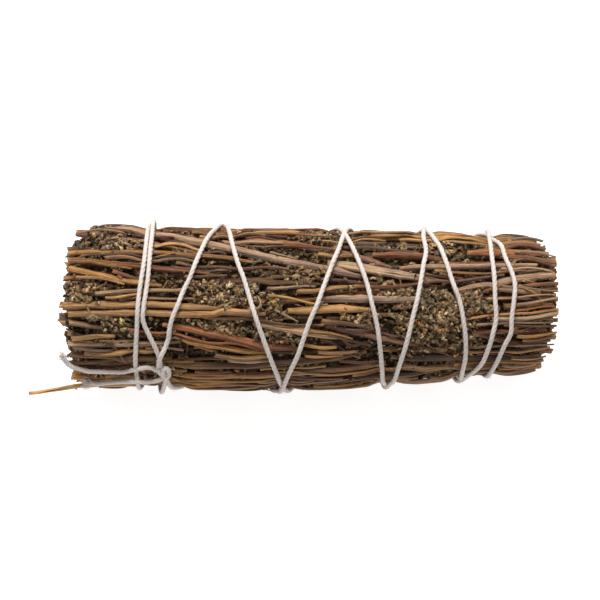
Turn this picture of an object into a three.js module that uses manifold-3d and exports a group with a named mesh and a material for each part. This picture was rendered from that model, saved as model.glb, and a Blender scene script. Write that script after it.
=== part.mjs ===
// Mugwort smudge stick: dried woody stems and leafy sprays, packed side by side and bound with one
// cotton string. Millimetres, +Z up, the stick lies along X.
import * as THREE from 'three';
import { mergeVertices } from 'three/addons/utils/BufferGeometryUtils.js';
import Module from 'manifold-3d';

const wasm = await Module();
wasm.setup();

// Driving dimensions
const HALF_LENGTH = 50;
const GAP = 0.3;                // clear space between neighbouring pieces
const STRING_RADIUS = 0.55;     // cotton butcher's twine, 1.1 mm across
const FLAT_HALF_WIDTH = 4;      // half the width over which the underside is pressed flat
const STRING_FLAT = 0.12;       // how much of each strand's underside is worn flat where it rests
const LEAFY_RADIUS = 3.35;      // leaf-covered core of a spray
const LEAFY_RING = 11.9;        // distance of the outer sprays from the bundle's axis
const INNER_RING = 4.0;         // distance of the inner sprays from the bundle's axis
const STEM_TAPER = 0.14;        // share of its radius that a stem loses towards its tip
const STALK_RADIUS = 1.1;       // bare stalk at a spray's ends
const LEAF_START = 1.2;         // the leaves begin this far from a spray's cut ends
const BLADE_THICKNESS = 0.65;
const FACE_TILT = THREE.MathUtils.degToRad(60);   // the best side looks up and forward by this much
const EYE_DISTANCE = 510;       // the best side is laid out as it is seen from here

// Radius of the bundle along its length, and how far its axis wanders on the best side, [x, value]
const BUNDLE_RADIUS = [[-50, 16.3], [-44, 17.2], [-34, 16.8], [-6, 17.0], [7, 16.7], [15, 16.1],
  [26, 15.9], [33, 15.1], [38, 14.9], [46, 14.5], [51, 13.6]];
const AXIS_WANDER = [[-50, 0.3], [-30, -0.3], [-6, -0.8], [15, -0.4], [35, 0.1], [48, 0.4]];

// Colours of the pieces
const REDDISH = 0x6b3a2a;
const PURPLE = 0x4a3038;
const GREY = 0x8a7766;
const GOLDEN = 0xa8793a;
const TAN = 0xb8935f;
const DARK = 0x3a2a20;
const LEAF = 0x5a5232;
const COTTON = 0xe9e4da;

// Woody stems of the best side: colour, radius, how deep they lie under the surface, and their
// route as [along, across] points; twigs grow out of the stem that they are listed with.
const FACE_STEMS = [
  { colour: GREY, radius: 0.85, depth: 0, route: [[-44.7, 17.2], [-35, 15.4], [-23, 13.2],
    [-12.6, 11.3], [-2, 8.8], [4.2, 7.4], [11, 5.7]] },
  { colour: REDDISH, radius: 0.65, depth: 0.4, route: [[-49.8, 15.6], [-44, 15.4], [-36, 13.4],
    [-29, 12.2]] },
  { colour: REDDISH, radius: 0.75, depth: 0, route: [[-33, 16.4], [-29, 17.2], [-20, 16.6],
    [-13, 15.8], [-7, 16.4], [0, 16.0]] },
  { colour: REDDISH, radius: 0.9, depth: 0.1, route: [[-16, 13.6], [-10, 14.8], [-6.3, 14.7],
    [-2, 13.8], [4.2, 12.2], [10.5, 10.3], [14.7, 8.6], [17.5, 7.4]] },
  { colour: GOLDEN, radius: 0.45, depth: 0.2, route: [[-51, 11.1], [-44, 11.5], [-34.6, 12],
    [-30.5, 11.8], [-23, 11], [-17.9, 10.3], [-12, 9.2]] },
  { colour: REDDISH, radius: 0.6, depth: 0, route: [[-51, 9.7], [-44, 9.5], [-40, 9.2], [-35, 8.2],
    [-29.4, 7.4], [-21, 6.2]] },
  { colour: GOLDEN, radius: 0.5, depth: 0, route: [[-51, 8.2], [-48.3, 7], [-44, 4.8],
    [-41, 3.8], [-36.3, 3.8], [-31, 4]] },
  { colour: TAN, radius: 0.6, depth: 0, route: [[-52.4, -0.1], [-44, 0.1], [-36.3, 0.7],
    [-30.5, 1.2], [-23, 0.8], [-17.9, -0.3], [-11, -1.7]],
    twigs: [{ radius: 0.4, depth: 0, route: [[-44, 0.1], [-40, 1.6], [-36, 2.3]] },
      { radius: 0.6, depth: 0, route: [[-11, -1.7], [-17.9, -2.5], [-23, -1.9], [-36.3, -1],
        [-44, -1.5], [-52, -1.6]] }] },
  { colour: PURPLE, radius: 0.45, depth: 0, route: [[-51, -3.1], [-46, -3.6], [-43.5, -4.8],
    [-40, -6.4]] },
  { colour: PURPLE, radius: 0.5, depth: 0.9, route: [[-51, -5], [-48, -5.4], [-44, -7.6],
    [-40, -10.2], [-33, -12]] },
  { colour: GREY, radius: 0.5, depth: 0.2, route: [[-51, -7.8], [-46, -8.2], [-42, -8.7],
    [-38, -8.4], [-34, -8.2], [-27, -8]] },
  { colour: DARK, radius: 0.6, depth: 0, route: [[-50.6, -10], [-44, -10.5], [-38, -11],
    [-29, -11.2]],
    twigs: [{ radius: 0.4, depth: 0, route: [[-38, -11], [-44, -12.2], [-51.5, -12]] }] },
  { colour: GOLDEN, radius: 0.8, depth: 0, route: [[-51, -14.6], [-44, -15], [-38, -15.6],
    [-27, -15.9]] },
  { colour: REDDISH, radius: 0.7, depth: 0, route: [[-31, -3.2], [-25, -4.9], [-18, -6.2],
    [-12.6, -7.6], [-10, -8.8], [-2, -10.3]] },
  { colour: GOLDEN, radius: 0.45, depth: 0, route: [[-28.8, -5.6], [-25.6, -8], [-18, -9.7],
    [-9, -10.6]],
    twigs: [{ radius: 0.35, depth: 0, route: [[-25.6, -8], [-24, -11], [-19, -11.4]] }] },
  { colour: DARK, radius: 0.6, depth: 0, route: [[-30, -12.6], [-18, -12.4], [-8.4, -12.8],
    [-2, -12.2], [4.2, -11], [12, -9.6]] },
  { colour: GOLDEN, radius: 0.65, depth: 0, route: [[-29, -14.6], [-18, -15], [-12.6, -14.9],
    [-4, -14.4], [4, -13], [16, -12]] },
  { colour: DARK, radius: 0.7, depth: 0, route: [[-25, -16.6], [-12, -17.2], [-2, -16], [8, -15],
    [17, -14.2], [25, -13.2]] },
  { colour: GREY, radius: 0.8, depth: 0.3, route: [[3.5, 9.2], [8.4, 8.6], [12.6, 7.8], [19, 6.8],
    [23, 5.6], [28, 4.4]] },
  { colour: DARK, radius: 0.6, depth: 0.5, route: [[-21, 5.9], [-12.6, 5.5], [-2, 4.9], [4, 4.6]],
    twigs: [{ radius: 0.4, depth: 0, route: [[-12.6, 5.5], [-7, 6.8], [-2, 7.2]] }] },
  { colour: TAN, radius: 0.8, depth: 0, route: [[-5, -0.9], [-2, -0.3], [3.2, -0.9], [8, -0.3],
    [13, -0.6]] },
  { colour: GREY, radius: 0.55, depth: 0.2, route: [[1, 1.6], [7.4, 1.3], [15.8, 1.8], [22.7, 1.8],
    [29, 1]] },
  { colour: GREY, radius: 0.75, depth: 0, route: [[-12, -2.7], [-6.3, -3.3], [-2, -4.4], [2, -5.6],
    [8, -7.4]] },
  { colour: PURPLE, radius: 0.5, depth: 0.2, route: [[3, -3.2], [8.4, -4], [11.6, -5.2],
    [14.3, -6.1], [19, -8.1], [24, -9.8]],
    twigs: [{ radius: 0.35, depth: 0, route: [[11.6, -5.2], [9, -8], [7, -10]] }] },
  { colour: GOLDEN, radius: 0.7, depth: 0, route: [[10, 14.6], [16, 14.2], [23, 14.2],
    [30, 13.8], [40, 13.8], [47, 14.3]] },
  { colour: REDDISH, radius: 0.6, depth: 0.2, route: [[13, 10.9], [17, 10.4], [22.7, 10.5],
    [29, 9.9]] },
  { colour: GREY, radius: 0.55, depth: 0, route: [[18.5, 8.2], [24, 8.3], [31.5, 8.2], [40, 8.4],
    [48, 9.2]] },
  { colour: GREY, radius: 0.75, depth: 0, route: [[30, 3], [35.7, 4.9], [42, 6.6], [46.2, 7.4],
    [51.7, 6.6]],
    twigs: [{ radius: 0.45, depth: 0, route: [[35.7, 4.9], [42, 4.6], [49.8, 2.2]] }] },
  { colour: REDDISH, radius: 0.7, depth: 0, route: [[33, 11.4], [38, 11.8], [44, 11.8],
    [51, 10.7]],
    twigs: [{ radius: 0.45, depth: 0, route: [[38, 11.8], [44, 10], [52.3, 8.4]] }] },
  { colour: REDDISH, radius: 0.6, depth: 0, route: [[36, -5.6], [42, -6.6], [46, -8], [51, -10]],
    twigs: [{ radius: 0.4, depth: 0, route: [[39, -6.1], [44, -5.6], [49.8, -5.1]] }] },
  { colour: DARK, radius: 0.6, depth: 0, route: [[17, -11.2], [27, -10.7], [33, -10.2],
    [40, -10.7], [49, -11.8]] },
  { colour: GOLDEN, radius: 0.65, depth: 0, route: [[19, -13.6], [29, -12.8], [36, -12.5],
    [48, -12.9]] },
];
// One twig hangs loose past the left end, outside the bundle
const STRAY_TWIG = { colour: TAN, radius: 0.4, tipRadius: 0.32, tipTo: -52, looseTo: -44, reach: 19.5,
  route: [[-59.2, -19.1], [-55.6, -19.3], [-52.5, -18], [-49.4, -16.6], [-45, -15.8], [-36, -16.4]] };

// Stems of the far side and the underside, laid by a rule
const FAR_STEM_COUNT = 14;
const FAR_FROM = 100;           // degrees round the bundle, from the best side up and over
const FAR_TO = 262;
const FAR_STEM = { jitter: [-3, 3], lean: [-9, 9], radius: [0.6, 0.95], shorter: [0, 22],
  left: [47, 50], right: [46, 50], sunk: 0.8, taper: 0.0015 };
const OUTER_SPRAY_COUNT = 9;
const INNER_SPRAY_COUNT = 3;

// The string on the best side, from the top edge to the bottom edge, [along, across]
const STRANDS_OUT = [
  [[-34, 16.8], [-34.9, 9.7], [-35.9, 3.4], [-36.3, -0.8], [-36.5, -5], [-36.7, -9.2], [-36.7, -13]],
  [[-33, 16.8], [-33.6, 11.8], [-34.2, 5.5], [-35.1, -0.8], [-35.2, -3], [-33.8, -6.7],
    [-32.8, -8.8], [-31.9, -10.9], [-31.3, -13]],
  [[-17.4, 17.4], [-16.4, 13.9], [-15.3, 9.7], [-14.1, 6.5], [-12.6, 1.3], [-11.3, -2.9],
    [-9.9, -7.1], [-8.4, -11.3], [-6.9, -15.1], [-6.1, -17.2]],
  [[7.6, 15.5], [9, 12.8], [10.5, 9.2], [12, 4.8], [12.8, 1.3], [13.7, -2.5], [14.3, -5.7],
    [14.7, -9.2], [15.1, -13.4], [15.3, -16.2]],
  [[26, 15.1], [27.3, 13.2], [28.8, 9.2], [30.2, 4.8], [31.5, 1.3], [32.3, -2.9], [32.8, -7.1],
    [32.8, -10.9], [32.1, -14.5]],
  [[38.4, 14.9], [39.9, 13.9], [41.4, 10.3], [42.6, 7.6], [43.3, 4.8], [43.1, 1.3], [42.6, -2.9],
    [42.4, -6.1], [41.2, -8.6], [39.9, -11.5], [38.4, -14.3]],
];
const STRANDS_BACK = [
  [[37.8, 14.9], [38.4, 10.7], [38.9, 6.5], [39.1, 1.3], [39.3, -2.9], [38.6, -6.1], [37.6, -9.7],
    [36.5, -12.2], [34.2, -14.7]],
  [[23.9, 15.5], [24.4, 11.8], [23.9, 9.2], [23.3, 5.5], [22.5, 1.3], [21.6, -2.5], [20.8, -6.1],
    [20, -9.2], [18.9, -12.4], [18.1, -14.9]],
  [[6.9, 15.3], [5.9, 12.4], [4.6, 9.2], [3.2, 5.5], [1.5, 0.6], [0, -2.9], [-1.3, -6.7],
    [-2.5, -10.3], [-4.2, -14.1], [-5.7, -17.2]],
  [[-20, 16.8], [-22.1, 13.9], [-23.5, 10.7], [-25.2, 6.5], [-26.7, 3.4], [-27.9, 0.2],
    [-29, -2.5], [-29.6, -5], [-29.9, -9.2], [-29.9, -11.4], [-29.8, -12.8]],
];
const KNOT_START = [-32.2, -14.9];
const KNOT_LOOP = [[-31.8, -13.1], [-30.6, -12.6], [-29.6, -13.6], [-29.4, -15.2], [-30, -16.5],
  [-31.2, -16.6], [-32, -15.6], [-31.6, -14.4]];
const TAIL_UP = [[-31.3, -13.9], [-33.6, -13], [-35.7, -13.3], [-40, -13.7], [-44, -13.4],
  [-48.3, -13], [-50.4, -12.4], [-51.9, -11.5]];
const TAIL_DOWN = [[-30.9, -16.1], [-33.6, -16.7], [-37.8, -16.8], [-42, -16.7], [-46.4, -16.2]];

function seeded(seed) {
  let state = seed >>> 0;
  return () => {
    state = (state + 0x6d2b79f5) >>> 0;
    let t = Math.imul(state ^ (state >>> 15), 1 | state);
    t = (t + Math.imul(t ^ (t >>> 7), 61 | t)) ^ t;
    return ((t ^ (t >>> 14)) >>> 0) / 4294967296;
  };
}
const draw = seeded(4181);
const between = (low, high) => low + (high - low) * draw();

// A smooth curve through [x, value] points, held level past both ends
function curveThrough(points) {
  const sorted = [...points].sort((a, b) => a[0] - b[0]);
  const rise = (a, b) => (b[1] - a[1]) / (b[0] - a[0]);
  const slopes = sorted.map((point, i) => {
    if (i === 0 || i === sorted.length - 1) return 0;
    const before = rise(sorted[i - 1], point);
    const after = rise(point, sorted[i + 1]);
    return (before + after) / 2;
  });
  slopes[0] = rise(sorted[0], sorted[1]);
  slopes[slopes.length - 1] = rise(sorted.at(-2), sorted.at(-1));
  return x => {
    if (x <= sorted[0][0]) return sorted[0][1];
    if (x >= sorted.at(-1)[0]) return sorted.at(-1)[1];
    const i = sorted.findIndex(point => point[0] > x) - 1;
    const width = sorted[i + 1][0] - sorted[i][0];
    const t = (x - sorted[i][0]) / width;
    const t2 = t * t;
    const t3 = t2 * t;
    return (2 * t3 - 3 * t2 + 1) * sorted[i][1] + (t3 - 2 * t2 + t) * width * slopes[i]
      + (3 * t2 - 2 * t3) * sorted[i + 1][1] + (t3 - t2) * width * slopes[i + 1];
  };
}

// The bundle's own shape: its radius, its axis, and the level of its pressed underside
const radiusAt = curveThrough(BUNDLE_RADIUS);
const wanderAt = curveThrough(AXIS_WANDER);
const undersideAt = x => Math.sqrt(radiusAt(x) ** 2 - FLAT_HALF_WIDTH ** 2);
const axisHeight = x => undersideAt(x) + GAP + 2 * STRING_RADIUS - STRING_FLAT;
const axisSide = x => (wanderAt(x) - Math.cos(FACE_TILT) * (axisHeight(x) - axisHeight(0)))
  / Math.sin(FACE_TILT);

// Angle round the bundle: 0 at the middle of the best side, positive towards its top edge
function sectionPoint(distance, angle) {
  return { y: -distance * Math.cos(FACE_TILT + angle), z: distance * Math.sin(FACE_TILT + angle) };
}
const inSpace = (x, point) => new THREE.Vector3(x, axisSide(x) + point.y, axisHeight(x) + point.z);

// What is seen at [along, across] on the best side, as a place on a surface of this radius
function fromFace([along, across], distanceAt) {
  let x = along;
  let angle = 0;
  for (let pass = 0; pass < 4; pass += 1) {
    const distance = distanceAt(x);
    const nearer = 1 - distance * Math.cos(angle) / EYE_DISTANCE;
    x = along * nearer;
    const height = THREE.MathUtils.clamp((across - wanderAt(x)) * nearer / distance, -0.999, 0.999);
    angle = Math.asin(height);
  }
  return { x, angle };
}

// Chains: the centre line of every stem and spray, one point in each station across the bundle
const STATION_STEP = 6;
const STATION_FIRST = -63;
const STATION_COUNT = 21;
const stationX = k => STATION_FIRST + k * STATION_STEP;
const chains = [];

function addChain({ node, from, to, radius, targetAt, hold, mobility, stiffness }) {
  const first = Math.floor((from - STATION_FIRST) / STATION_STEP);
  const last = Math.ceil((to - STATION_FIRST) / STATION_STEP);
  const points = [];
  for (let k = first; k <= last; k += 1) {
    points.push({ ...targetAt(stationX(k)) });
  }
  const chain = { node, from, to, radius, targetAt, hold, mobility, stiffness, first, last, points };
  chains.push(chain);
  return chain;
}

function chainAt(chain, x) {
  const place = THREE.MathUtils.clamp((x - STATION_FIRST) / STATION_STEP - chain.first, 0,
    chain.points.length - 1);
  const i = Math.min(Math.floor(place), chain.points.length - 2);
  const t = place - i;
  const a = chain.points[i];
  const b = chain.points[i + 1];
  const slope = Math.hypot(b.y - a.y, b.z - a.z) / STATION_STEP;
  return { y: a.y + (b.y - a.y) * t, z: a.z + (b.z - a.z) * t, i, t,
    reach: chain.radius(x) * Math.sqrt(1 + slope * slope) };
}

function addFaceChain(node, stem, parent) {
  const surfaceAt = x => radiusAt(x) - stem.radius - stem.depth;
  const places = stem.route.map(point => fromFace(point, surfaceAt));
  const angleAt = curveThrough(places.map(place => [place.x, place.angle]));
  const xs = places.map(place => place.x);
  const from = Math.min(...xs);
  const to = Math.max(...xs);
  const rootLeft = places[0].x < places.at(-1).x;
  const radius = x => {
    const along = THREE.MathUtils.clamp((x - from) / (to - from), 0, 1);
    return stem.radius * (1 - STEM_TAPER * (rootLeft ? along : 1 - along));
  };
  const chain = addChain({ node, from, to, radius, hold: 0.08, mobility: 0.35, stiffness: 0.12,
    targetAt: x => sectionPoint(surfaceAt(x), angleAt(x)) });
  if (parent) growFrom(chain, parent, rootLeft);
  return chain;
}

// A twig starts inside its stem, at the station next to its root
function growFrom(twig, parent, rootLeft) {
  twig.root = rootLeft ? 0 : twig.points.length - 1;
  twig.parent = parent;
  if (rootLeft) twig.from = stationX(twig.first);
  else twig.to = stationX(twig.last);
}

const woodyNodes = [];
FACE_STEMS.forEach((stem, i) => {
  const name = `woody_stem_${String(i + 1).padStart(2, '0')}`;
  const main = addFaceChain(name, stem);
  woodyNodes.push({ name, colour: stem.colour, main });
  (stem.twigs ?? []).forEach(twig => addFaceChain(name, twig, main));
});

function addStrayTwig() {
  const { radius, tipRadius, tipTo, looseTo, reach, route: points } = STRAY_TWIG;
  const surfaceAt = x => (x < looseTo ? reach : radiusAt(x)) - radius;
  const acrossAt = curveThrough(points);
  const targetAt = x => {
    const across = Math.max(acrossAt(x), -surfaceAt(x) + 0.02);
    const outward = Math.max(-across, radiusAt(x) - radius);
    return sectionPoint(outward, Math.asin(across / outward));
  };
  woodyNodes.push({ name: 'stray_twig', colour: STRAY_TWIG.colour, main: addChain({
    node: 'stray_twig', from: points[0][0], to: points.at(-1)[0], hold: 0.3, mobility: 0.1,
    stiffness: 0.05, radius: x => (x < tipTo ? tipRadius : radius), targetAt }) });
}
addStrayTwig();

const FAR_COLOURS = [REDDISH, GREY, DARK, GOLDEN, PURPLE, TAN];
for (let i = 0; i < FAR_STEM_COUNT; i += 1) {
  const middle = FAR_FROM + (FAR_TO - FAR_FROM) * (i + 0.5) / FAR_STEM_COUNT
    + between(...FAR_STEM.jitter);
  const lean = between(...FAR_STEM.lean);
  const thickness = between(...FAR_STEM.radius);
  const short = between(...FAR_STEM.shorter);
  const from = (i % 2 === 0 ? 0 : short) - between(...FAR_STEM.left);
  const to = between(...FAR_STEM.right) - (i % 2 === 0 ? short : 0);
  const depth = i % 3 === 0 ? FAR_STEM.sunk : 0;
  const name = `woody_stem_${String(FACE_STEMS.length + i + 1).padStart(2, '0')}`;
  const targetAt = x => sectionPoint(radiusAt(x) - thickness - depth,
    THREE.MathUtils.degToRad(middle + lean * x / HALF_LENGTH));
  const main = addChain({ node: name, from, to,
    radius: x => thickness * (1 - FAR_STEM.taper * (x + HALF_LENGTH)),
    hold: 0.02, mobility: 1, stiffness: 0.2, targetAt });
  main.straight = true;
  woodyNodes.push({ name, colour: FAR_COLOURS[i % FAR_COLOURS.length], main });
}

const leafyNodes = [];
function addSpray(ring, angle, radius, from, to) {
  const name = `leafy_stem_${String(leafyNodes.length + 1).padStart(2, '0')}`;
  const phase = between(0, Math.PI * 2);
  const girth = x => {
    const full = THREE.MathUtils.smoothstep(Math.min(x - from, to - x), 0.5, LEAF_START);
    const lumpy = radius * radiusAt(x) / radiusAt(0) * (0.95 + 0.05 * Math.sin(x * 0.35 + phase));
    return STALK_RADIUS + (lumpy - STALK_RADIUS) * full;
  };
  const main = addChain({ node: name, from, to, radius: girth, hold: 0.03, mobility: 0.8,
    stiffness: 0.3, targetAt: x => sectionPoint(ring * radiusAt(x) / radiusAt(0), angle) });
  leafyNodes.push({ name, main, outer: ring > INNER_RING });
}
for (let i = 0; i < OUTER_SPRAY_COUNT; i += 1) {
  addSpray(LEAFY_RING, Math.PI * 2 * (i + 0.45) / OUTER_SPRAY_COUNT, LEAFY_RADIUS * between(0.95, 1.05),
    -between(48, 51), between(47, 50.5));
}
for (let i = 0; i < INNER_SPRAY_COUNT; i += 1) {
  addSpray(INNER_RING, Math.PI * 2 * (i + 0.2) / INNER_SPRAY_COUNT, LEAFY_RADIUS,
    -between(48, 51), between(47, 50.5));
}

// Packing: neighbours push each other apart, every chain is pulled back to its place and kept
// straight, and nothing leaves the bundle
const SAMPLE_STEP = STATION_STEP / 2;
const SETTLING_ROUNDS = 500;
const LAST_ROUNDS = 220;        // at the end neighbours only push

function pushChain(chain, at, y, z) {
  const a = chain.points[at.i];
  a.y += y;
  a.z += z;
  if (at.t > 0.25) {
    const b = chain.points[at.i + 1];
    b.y += y;
    b.z += z;
  }
}

function separateNeighbours() {
  for (let s = 0; s < 2 * STATION_COUNT - 1; s += 1) {
    const x = STATION_FIRST + s * SAMPLE_STEP;
    const here = chains.filter(c => x > c.from - SAMPLE_STEP && x < c.to + SAMPLE_STEP);
    for (let i = 0; i < here.length; i += 1) {
      for (let j = i + 1; j < here.length; j += 1) {
        if (here[i].node === here[j].node) continue;
        const a = chainAt(here[i], x);
        const b = chainAt(here[j], x);
        const dy = b.y - a.y;
        const dz = b.z - a.z;
        const distance = Math.hypot(dy, dz) || 0.01;
        const lap = a.reach + b.reach + GAP - distance;
        if (lap <= 0) continue;
        const share = here[i].mobility / (here[i].mobility + here[j].mobility);
        const unitY = dy / distance;
        const unitZ = dz / distance;
        pushChain(here[i], a, -unitY * lap * share, -unitZ * lap * share);
        pushChain(here[j], b, unitY * lap * (1 - share), unitZ * lap * (1 - share));
      }
    }
  }
}

function keepInside(chain) {
  if (chain.node === 'stray_twig') return;
  chain.points.forEach((point, i) => {
    const x = stationX(chain.first + i);
    const reach = chain.radius(THREE.MathUtils.clamp(x, chain.from, chain.to));
    const most = radiusAt(x) - reach;
    const distance = Math.hypot(point.y, point.z);
    if (distance > most) {
      point.y *= most / distance;
      point.z *= most / distance;
    }
    point.z = Math.max(point.z, reach - undersideAt(x));
  });
}

function holdAndStraighten(chain, free) {
  const before = chain.points.map(point => ({ ...point }));
  chain.points.forEach((point, i) => {
    const target = chain.targetAt(stationX(chain.first + i));
    point.y += (target.y - point.y) * chain.hold * free;
    point.z += (target.z - point.z) * chain.hold * free;
    if (i === 0 || i === before.length - 1) return;
    const pull = chain.stiffness * (0.1 + 0.9 * free);
    point.y += ((before[i - 1].y + before[i + 1].y) / 2 - before[i].y) * pull;
    point.z += ((before[i - 1].z + before[i + 1].z) / 2 - before[i].z) * pull;
  });
}

function rootInParent(twig) {
  const station = twig.first + twig.root - twig.parent.first;
  const inside = twig.parent.points[station];
  Object.assign(twig.points[twig.root], inside);
}

function settle() {
  for (let round = 0; round < SETTLING_ROUNDS; round += 1) {
    const free = Math.max(0, 1 - round / (SETTLING_ROUNDS - LAST_ROUNDS));
    chains.forEach(chain => holdAndStraighten(chain, free));
    separateNeighbours();
    chains.forEach(keepInside);
    chains.filter(chain => chain.parent).forEach(rootInParent);
  }
}
settle();

// A closed mesh as a solid, and a solid as a closed mesh
function solidOf(geometry) {
  const bare = geometry.clone();
  bare.deleteAttribute('normal');
  bare.deleteAttribute('uv');
  const merged = mergeVertices(bare, 1e-4);
  return new wasm.Manifold(new wasm.Mesh({ numProp: 3,
    vertProperties: new Float32Array(merged.attributes.position.array),
    triVerts: new Uint32Array(merged.index.array) }));
}

function geometryOf(solid) {
  const mesh = solid.getMesh();
  const geometry = new THREE.BufferGeometry();
  geometry.setAttribute('position', new THREE.BufferAttribute(mesh.vertProperties, 3));
  geometry.setIndex(new THREE.BufferAttribute(mesh.triVerts, 1));
  geometry.computeVertexNormals();
  return geometry;
}

// The one body that holds together: scraps that stand loose and hollows that closed are left out
function wholeOf(solid) {
  return solid.decompose().sort((a, b) => b.volume() - a.volume())[0];
}

// A round rod bent along its path: a cylinder whose rings are carried to the path's points
function bentRod(path, radiusOf, sides, upAt, slant = 0) {
  const count = path.length - 1;
  const rod = new THREE.CylinderGeometry(1, 1, count, sides, count);
  const places = rod.attributes.position;
  const frames = path.map((point, i) => {
    const ahead = path[Math.min(i + 1, count)].clone().sub(path[Math.max(i - 1, 0)]).normalize();
    const up = upAt(i).clone().addScaledVector(ahead, -upAt(i).dot(ahead)).normalize();
    return { ahead, up, side: new THREE.Vector3().crossVectors(up, ahead) };
  });
  for (let v = 0; v < places.count; v += 1) {
    const ring = Math.round(places.getY(v) + count / 2);
    const { ahead, up, side } = frames[ring];
    const radius = radiusOf(ring);
    const lean = ring === 0 || ring === count ? slant * radius * places.getX(v) : 0;
    const moved = path[ring].clone()
      .addScaledVector(side, radius * places.getX(v))
      .addScaledVector(up, radius * places.getZ(v))
      .addScaledVector(ahead, lean);
    places.setXYZ(v, moved.x, moved.y, moved.z);
  }
  const solid = solidOf(rod);
  return solid.volume() > 0 ? solid : solidOf(insideOut(rod));
}

function insideOut(geometry) {
  const turned = geometry.clone();
  const index = turned.index.array;
  for (let t = 0; t < index.length; t += 3) {
    [index[t], index[t + 1]] = [index[t + 1], index[t]];
  }
  return turned;
}

const UPWARD = new THREE.Vector3(0, 0, 1);
const WOODY_SIDES = 5;
const END_CLEAR = 0.9;          // rings stand at least this far apart

function chainPath(chain, step = STATION_STEP, endStep = END_CLEAR) {
  const xs = [chain.from];
  if (endStep > END_CLEAR) xs.push(chain.from + endStep);
  for (let x = STATION_FIRST; x < chain.to - endStep - END_CLEAR; x += step) {
    if (x > xs.at(-1) + END_CLEAR) xs.push(x);
  }
  if (endStep > END_CLEAR) xs.push(chain.to - endStep);
  xs.push(chain.to);
  return xs.map(x => ({ x, at: inSpace(x, chainAt(chain, x)) }));
}

function woodySolid(chain) {
  const path = chainPath(chain, chain.straight ? 2 * STATION_STEP : STATION_STEP);
  return bentRod(path.map(step => step.at), i => chain.radius(path[i].x), WOODY_SIDES,
    () => UPWARD, between(-0.5, 0.5));
}

const stick = new THREE.Group();
function addPiece(name, solid, colour, roughness) {
  const material = new THREE.MeshStandardMaterial({ color: colour, roughness, metalness: 0 });
  const mesh = new THREE.Mesh(geometryOf(solid), material);
  mesh.name = name;
  stick.add(mesh);
}

for (const { name, colour, main } of woodyNodes) {
  const twigs = chains.filter(chain => chain.parent === main);
  const solid = twigs.reduce((all, twig) => all.add(woodySolid(twig)), woodySolid(main));
  addPiece(name, wholeOf(solid), colour, 0.85);
}

// The string: how far out it has to run to clear all that lies under it
function outwardClear(x, angle) {
  const unit = sectionPoint(1, angle);
  let most = 0;
  for (const chain of chains) {
    if (x < chain.from - 2 * STRING_RADIUS || x > chain.to + 2 * STRING_RADIUS) continue;
    const at = chainAt(chain, x);
    const reach = at.reach + GAP + STRING_RADIUS;
    const along = at.y * unit.y + at.z * unit.z;
    const offset2 = at.y ** 2 + at.z ** 2 - along ** 2;
    if (offset2 < reach ** 2) most = Math.max(most, along + Math.sqrt(reach ** 2 - offset2));
  }
  return most;
}

const FULL_TURN = Math.PI * 2;
const stringLevel = x => radiusAt(x) + GAP + STRING_RADIUS;
const windings = [...STRANDS_OUT, ...STRANDS_BACK];
const windingPlaces = [];
const knotStart = fromFace(KNOT_START, stringLevel);
windingPlaces.push([knotStart.angle, knotStart.x]);
windings.forEach((strand, turn) => {
  strand.forEach(point => {
    const place = fromFace(point, stringLevel);
    windingPlaces.push([place.angle - FULL_TURN * (turn + 1), place.x]);
  });
});
const windingX = curveThrough(windingPlaces);
const windingEnd = Math.min(...windingPlaces.map(place => place[0]));

// The string is laid in fine steps, and lies straight on the pressed underside
const UNDERSIDE = THREE.MathUtils.degToRad(-150);
const FINE_TURN = THREE.MathUtils.degToRad(4);
const FINE_LENGTH = 0.8;

function freshNode(x, angle) {
  const round = Math.abs(THREE.MathUtils.euclideanModulo(angle - UNDERSIDE + Math.PI, FULL_TURN)
    - Math.PI);
  const level = undersideAt(x) + GAP + STRING_RADIUS;
  const pressed = level * Math.tan(round) < FLAT_HALF_WIDTH && round < Math.PI / 2;
  const least = pressed ? level / Math.cos(round) : outwardClear(x, angle);
  return { x, angle, distance: least, pressed };
}
const nodePlace = node => inSpace(node.x, sectionPoint(node.distance, node.angle));

// Pulled tight: between the places that it touches the string runs straight
const STRETCHING_ROUNDS = 500;
const ROUND_THE_BUNDLE = 0.02;  // a step that turns less than this, in radians, runs along it
function stretchTight(nodes) {
  for (let round = 0; round < STRETCHING_ROUNDS; round += 1) {
    for (let i = 1; i < nodes.length - 1; i += 1) {
      if (nodes[i].pressed) continue;
      const before = nodes[i - 1];
      const after = nodes[i + 1];
      const back = Math.abs(nodes[i].angle - before.angle);
      const on = Math.abs(after.angle - nodes[i].angle);
      const chord = back + on < ROUND_THE_BUNDLE
        ? (before.distance + after.distance) / 2
        : before.distance * after.distance * Math.sin(back + on)
          / (before.distance * Math.sin(back) + after.distance * Math.sin(on));
      nodes[i].distance = Math.max(nodes[i].distance, chord);
    }
  }
}

// Where strands cross, the later one rides over the earlier one
const CROSSING_CLEAR = 2 * STRING_RADIUS + 0.12;
const CROSSING_REACH = 2.5;
const OWN_NEIGHBOURS = 12;
const RIDING_ROUNDS = 6;
function closestOn(a, b, point) {
  return new THREE.Line3(a, b).closestPointToPoint(point, true, new THREE.Vector3());
}

function rideOver(nodes, laid, laidBefore) {
  const laidPlaces = laid.map(nodePlace);
  for (let round = 0; round < RIDING_ROUNDS; round += 1) {
    nodes.forEach((node, i) => {
      if (node.pressed) return;
      const at = nodePlace(node);
      let short = 0;
      for (let j = 0; j < laidBefore(i); j += 1) {
        const earlier = laid === nodes ? nodePlace(laid[j]) : laidPlaces[j];
        if (earlier.distanceTo(at) > CROSSING_REACH) continue;
        const next = laid === nodes ? nodePlace(laid[j + 1]) : laidPlaces[j + 1];
        short = Math.max(short, CROSSING_CLEAR - closestOn(earlier, next, at).distanceTo(at));
      }
      node.distance += short;
    });
  }
}

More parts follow.
